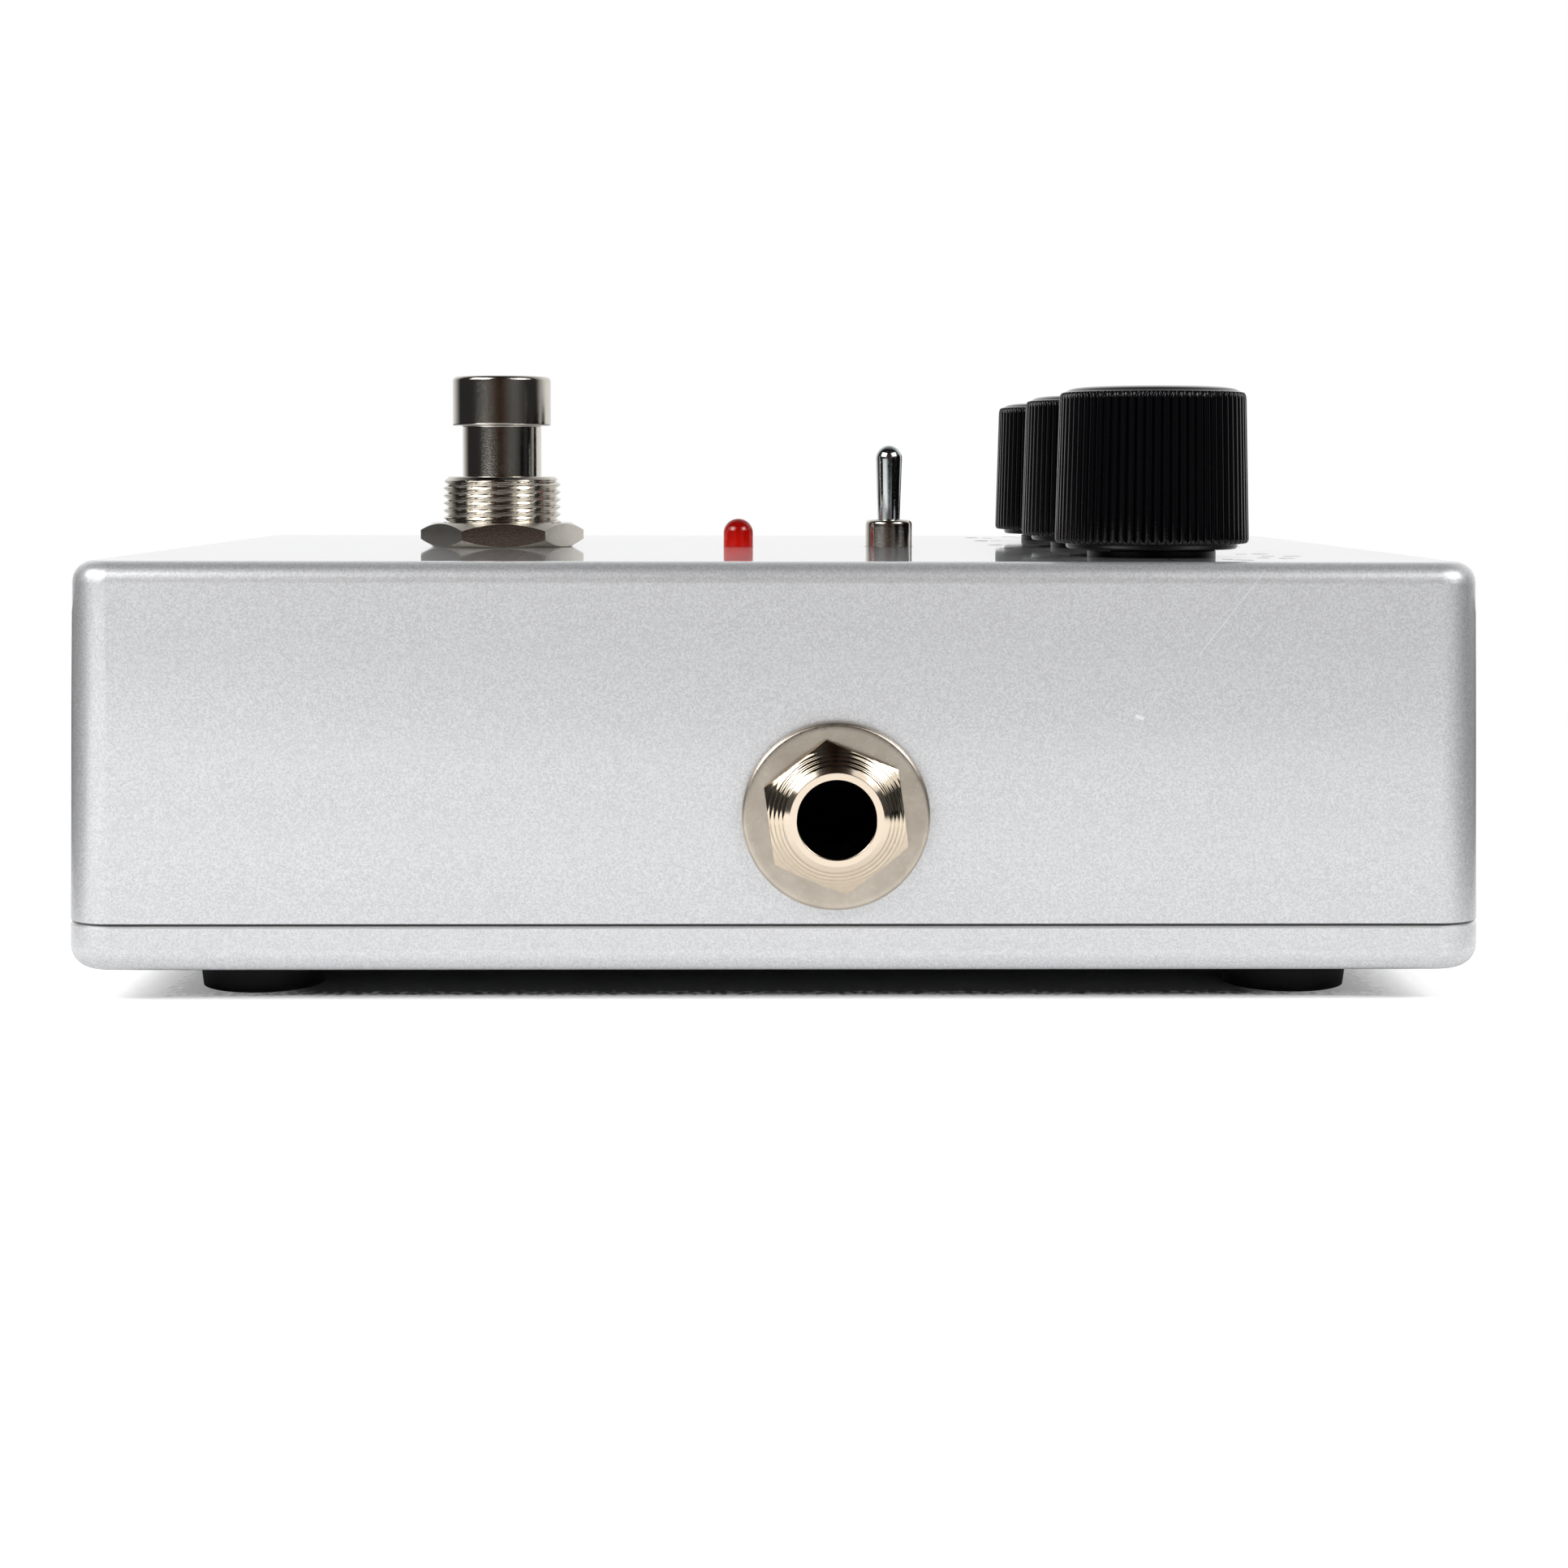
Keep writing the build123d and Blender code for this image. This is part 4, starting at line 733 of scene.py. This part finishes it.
# ---- Battery and wiring --------------------------------------------------------------------
# A nine-volt battery in a plain wrapped jacket with snap studs, its moulded clip with a red and
# a black lead, and a grey ribbon from the footswitch to the board. PVC is smooth and satin.
collar_length = 12              # mm of the jacket at the studs' end are brass coloured
jacket = material("wrapped_battery_jacket")
tree = jacket.node_tree
place = add(tree, "TexCoord").outputs["Object"]
high = box_of("battery")[1]
along = add(tree, "SeparateXYZ", {0: place}).outputs[1]
collar = add(tree, "Math", {0: along, 1: (high[1] - collar_length) / 1000}, operation="GREATER_THAN")
rub = add(tree, "TexNoise", {"Vector": place, "Scale": 1000 / 3.0, "Detail": 4.0})
tone = add(tree, "MixRGB", {"Fac": collar, "Color1": srgb("#1B1C20"), "Color2": srgb("#A88A4A")})
rough = add(tree, "MapRange", {"Value": rub, "To Min": 0.2, "To Max": 0.4})
jacket_shader = add(tree, "BsdfPrincipled", {"Base Color": tone, "Roughness": rough, "Metallic": 0.3})
add(tree, "OutputMaterial", {"Surface": jacket_shader})
coat_nodes(jacket, "battery")
coat_nodes(nickel, "battery_studs")
coat_nodes(black, "battery_clip")

lead_side = 3.5                 # mm from the clip, where the red lead lies nearer than the black one
leads = material("red_and_black_pvc")
tree = leads.node_tree
place = add(tree, "TexCoord").outputs["Object"]
parts = add(tree, "SeparateXYZ", {0: place})
clip_low, clip_high = box_of("battery_clip")
upper = add(tree, "Math", {0: parts.outputs[2], 1: (clip_low[2] + clip_high[2]) / 2000},
            operation="GREATER_THAN")
nearer = add(tree, "Math", {0: parts.outputs[0], 1: (clip_low[0] - lead_side) / 1000},
             operation="GREATER_THAN")
first = add(tree, "Math", {0: upper, 1: nearer}, operation="MULTIPLY")
tone = add(tree, "MixRGB", {"Fac": first, "Color1": srgb("#141414"), "Color2": srgb("#B01812")})
leads_shader = add(tree, "BsdfPrincipled", {"Base Color": tone, "Roughness": 0.4})
add(tree, "OutputMaterial", {"Surface": leads_shader})
coat_nodes(leads, "battery_leads")

wire_pitch = 2.54               # mm between the ribbon's wires
wave_turn = 20                  # radians of the wave texture for each unit
ribbon = material("grey_pvc_ribbon")
tree = ribbon.node_tree
place = add(tree, "TexCoord").outputs["Object"]
wires = add(tree, "TexWave", {"Vector": place, "Scale": 2000 * pi / wire_pitch / wave_turn},
            bands_direction="X")
tone = add(tree, "MixRGB", {"Fac": wires.outputs["Fac"], "Color1": srgb("#7C7E82"),
                            "Color2": srgb("#B2B4B8")})
ribs_bump = add(tree, "Bump", {"Height": wires.outputs["Fac"], "Distance": 0.0002, "Strength": 0.8})
ribbon_shader = add(tree, "BsdfPrincipled", {"Base Color": tone, "Roughness": 0.45, "Normal": ribs_bump})
add(tree, "OutputMaterial", {"Surface": ribbon_shader})
coat_nodes(ribbon, "footswitch_ribbon")

# ---- Studio --------------------------------------------------------------------------------
# A white cloth on a table before a white sheet, in a dark room, with a soft box with a brighter
# middle high in front on each side. The lacquer and the metal mirror all of it. The cloth's colour
# is a painted pool of light, white near the pedal and darker further out, with a painted shadow under the
# box.
table_front, table_back, table_side = 1.40, -0.60, 0.90        # m from the pedal's middle
nap_height = 0.0007             # m, the cloth's nap stands this high round the feet
shaded_half = (0.0390, 0.053, 0)            # m, half size of the painted shadow under the box
table = bpy.data.meshes.new("table")
table.from_pydata([(table_back, -table_side, nap_height), (table_front, -table_side, nap_height),
                   (table_front, table_side, nap_height), (table_back, table_side, nap_height)], [],
                  [(0, 1, 2, 3)])
cloth = material("white_cotton_cloth")
tree = cloth.node_tree
place = add(tree, "TexCoord").outputs["Object"]
weave = add(tree, "TexNoise", {"Vector": place, "Scale": 1000 / 1.2, "Detail": 4.0})
nap = add(tree, "Bump", {"Height": weave, "Distance": 0.0003, "Strength": 0.5})
fuzz = add(tree, "TexNoise", {"Vector": place, "Scale": 1000 / 0.8, "Detail": 2.0})
frayed = add(tree, "MapRange", {"Value": fuzz, "From Min": 0.3, "From Max": 0.7, "To Min": -0.0012,
                                "To Max": 0.0012})

# How far a point lies outside the painted shadow under the box: ahead or behind, to the side, and the
# larger of them.
size = add(tree, "VectorMath", {0: place}, operation="ABSOLUTE")
past = add(tree, "VectorMath", {0: size, 1: shaded_half}, operation="SUBTRACT")
past = add(tree, "SeparateXYZ", {0: past})
past_end, past_side = past.outputs[0], past.outputs[1]
outside = add(tree, "Math", {0: past_end, 1: past_side}, operation="MAXIMUM")
outside = add(tree, "Math", {0: outside, 1: frayed})
# Inside the box's outline the cloth's colour drops to a fifth: a painted shadow, its edge frayed by the
# fine noise like the cloth's fibres.
bare = add(tree, "MapRange", {"Value": outside, "From Min": -0.001, "From Max": 0.001, "To Min": 0.2})

# The painted pool of light on the cloth widens towards the front, and on the left it is wider and longer;
# beyond it the cloth's colour fades to black.
spot = add(tree, "SeparateXYZ", {0: place})
forward = add(tree, "MapRange", {"Value": spot.outputs[0], "From Min": 0.045, "From Max": 0.745,
                                 "To Max": 0.7})
spread = add(tree, "MapRange", {"Value": spot.outputs[1], "From Min": -0.03, "From Max": 0.03,
                                "To Min": 1.5, "To Max": 0.35})
reach = add(tree, "Math", {0: forward, 1: spread}, operation="MULTIPLY")
beyond = add(tree, "Math", {0: past_side, 1: reach}, operation="SUBTRACT")
sideways = add(tree, "MapRange", {"Value": beyond, "From Min": 0.015, "From Max": 0.10, "To Min": 1.0,
                                  "To Max": 0.0}, interpolation_type="SMOOTHSTEP")
leftward = add(tree, "Math", {0: spot.outputs[1], 1: 0.0}, operation="MINIMUM")
distance = add(tree, "Math", {0: leftward, 1: 1.1, 2: spot.outputs[0]}, operation="MULTIPLY_ADD")
ahead = add(tree, "MapRange", {"Value": distance, "From Min": 0.22, "From Max": 0.62, "To Min": 1.0,
                               "To Max": 0.0}, interpolation_type="SMOOTHSTEP")
lit = add(tree, "Math", {0: sideways, 1: ahead}, operation="MULTIPLY")
# The cloth's colour is white only inside the painted light and outside the painted shadow.
white = add(tree, "Math", {0: lit, 1: bare}, operation="MULTIPLY")
shade = add(tree, "MixRGB", {"Fac": white, "Color1": srgb("#000000"), "Color2": srgb("#F4F4F4")})
cloth_shader = add(tree, "BsdfDiffuse", {"Color": shade, "Normal": nap})

# The cloth glows as if lit from all round, and the camera sees it fully white outside the patch.
around = add(tree, "MapRange", {"Value": outside, "From Min": 0.003, "From Max": 0.03, "To Max": 0.6})
around = add(tree, "Math", {0: around, 1: lit}, operation="MULTIPLY")
white_side = add(tree, "MapRange", {"Value": past_side, "From Min": -0.012, "From Max": 0.02})
white_end = add(tree, "MapRange", {"Value": past_end, "From Max": 0.003})
seen = add(tree, "Math", {0: white_end, 1: white_side}, operation="MAXIMUM")
sight = add(tree, "LightPath").outputs["Is Camera Ray"]
seen = add(tree, "Math", {0: seen, 1: sight}, operation="MULTIPLY")
strength = add(tree, "Math", {0: around, 1: seen}, operation="MAXIMUM")
glow = add(tree, "Emission", {"Strength": strength})
both = add(tree, "AddShader", {0: cloth_shader, 1: glow})
add(tree, "OutputMaterial", {"Surface": both})
table.materials.append(cloth)
floor = bpy.data.objects.new("table", table)
bpy.context.scene.collection.objects.link(floor)

world = bpy.data.worlds.new("studio")
bpy.context.scene.world = world
world.use_nodes = True
tree = world.node_tree
tree.nodes.clear()
toward = add(tree, "TexCoord").outputs["Generated"]
flat = add(tree, "VectorMath", {0: toward, 1: (1, 1, 0)}, operation="MULTIPLY")
bearing = add(tree, "SeparateXYZ", {0: add(tree, "VectorMath", {0: flat}, operation="NORMALIZE")})
aside = add(tree, "Math", {0: bearing.outputs[1]}, operation="ABSOLUTE")

# The white sheet stands behind the pedal, a little to one side, and fades upwards.
skew = add(tree, "Math", {0: bearing.outputs[1], 1: 0.16}, operation="MULTIPLY")
behind = add(tree, "Math", {0: skew, 1: bearing.outputs[0]}, operation="SUBTRACT")
sheet = add(tree, "MapRange", {"Value": behind, "From Min": 0.2, "From Max": 0.8, "To Max": 0.95})
height = add(tree, "SeparateXYZ", {0: toward}).outputs[2]
fade = add(tree, "MapRange", {"Value": height, "From Min": 0.45, "To Min": 1.0, "To Max": 0.12})

# The dark room is a little lighter half way round to the sides.
rising = add(tree, "MapRange", {"Value": aside, "From Max": 0.5, "To Min": 0.03, "To Max": 0.12})
falling = add(tree, "MapRange", {"Value": aside, "From Min": 0.65, "From Max": 0.92, "To Min": 0.12,
                                 "To Max": 0.03})
spill = add(tree, "Math", {0: rising, 1: falling}, operation="MINIMUM")
room = add(tree, "Math", {0: sheet, 1: spill}, operation="MAXIMUM")
room = add(tree, "Math", {0: room, 1: fade}, operation="MULTIPLY")
sight = add(tree, "LightPath").outputs["Is Camera Ray"]
seen = add(tree, "Math", {0: room, 1: sight}, operation="MAXIMUM")

# A brown front wall, which only the mirrors show.
wood = add(tree, "MapRange", {"Value": aside, "From Min": 0.1, "From Max": 0.45, "To Min": 0.9,
                              "To Max": 0.0})
front = add(tree, "Math", {0: bearing.outputs[0], 1: 0.0}, operation="GREATER_THAN")
browned = add(tree, "Math", {0: wood, 1: front}, operation="MULTIPLY")
unseen = add(tree, "Math", {0: 1.0, 1: sight}, operation="SUBTRACT")
browned = add(tree, "Math", {0: browned, 1: unseen}, operation="MULTIPLY")
tint = add(tree, "MixRGB", {"Fac": browned, "Color1": srgb("#FFFFFF"), "Color2": srgb("#FFC4A4")})
backdrop = add(tree, "Background", {"Color": tint, "Strength": seen})
add(tree, "OutputWorld", {"Surface": backdrop})

lights_aim = Vector((0, 0, 0.03))


def soft_box(name, location, size, power):
    """A flat area light, width by height, aimed at the pedal."""
    light = bpy.data.lights.new(name, "AREA")
    light.shape = "RECTANGLE"
    light.size, light.size_y = size
    light.energy = power
    lamp = bpy.data.objects.new(name, light)
    lamp.location = location
    lamp.rotation_euler = (lights_aim - Vector(location)).to_track_quat("-Z", "Y").to_euler()
    lamp.visible_camera = False
    bpy.context.scene.collection.objects.link(lamp)


for hand, side, power in (("left", -1, 1.15), ("right", 1, 0.57)):
    soft_box(f"soft_box_{hand}", (0.295, side * 0.378, 0.361), (0.50, 0.34), power)
    soft_box(f"soft_box_{hand}_core", (0.290, side * 0.372, 0.355), (0.22, 0.18), 0.8)

camera_pitch, camera_roll, camera_yaw = 0.0536, -0.0015, 0.013      # radians
camera_data = bpy.data.cameras.new("camera")
camera_data.sensor_width = 36.0
camera_data.lens = 60.876
camera_data.shift_y = -0.1086
camera_data.clip_start = 0.01
camera = bpy.data.objects.new("camera", camera_data)
camera.location = (0.268025, -0.002276, 0.046166)
camera.rotation_euler = (pi / 2 - camera_pitch, camera_roll, pi / 2 - camera_yaw)
bpy.context.scene.collection.objects.link(camera)
bpy.context.scene.camera = camera
bpy.context.scene.view_settings.view_transform = "Standard"
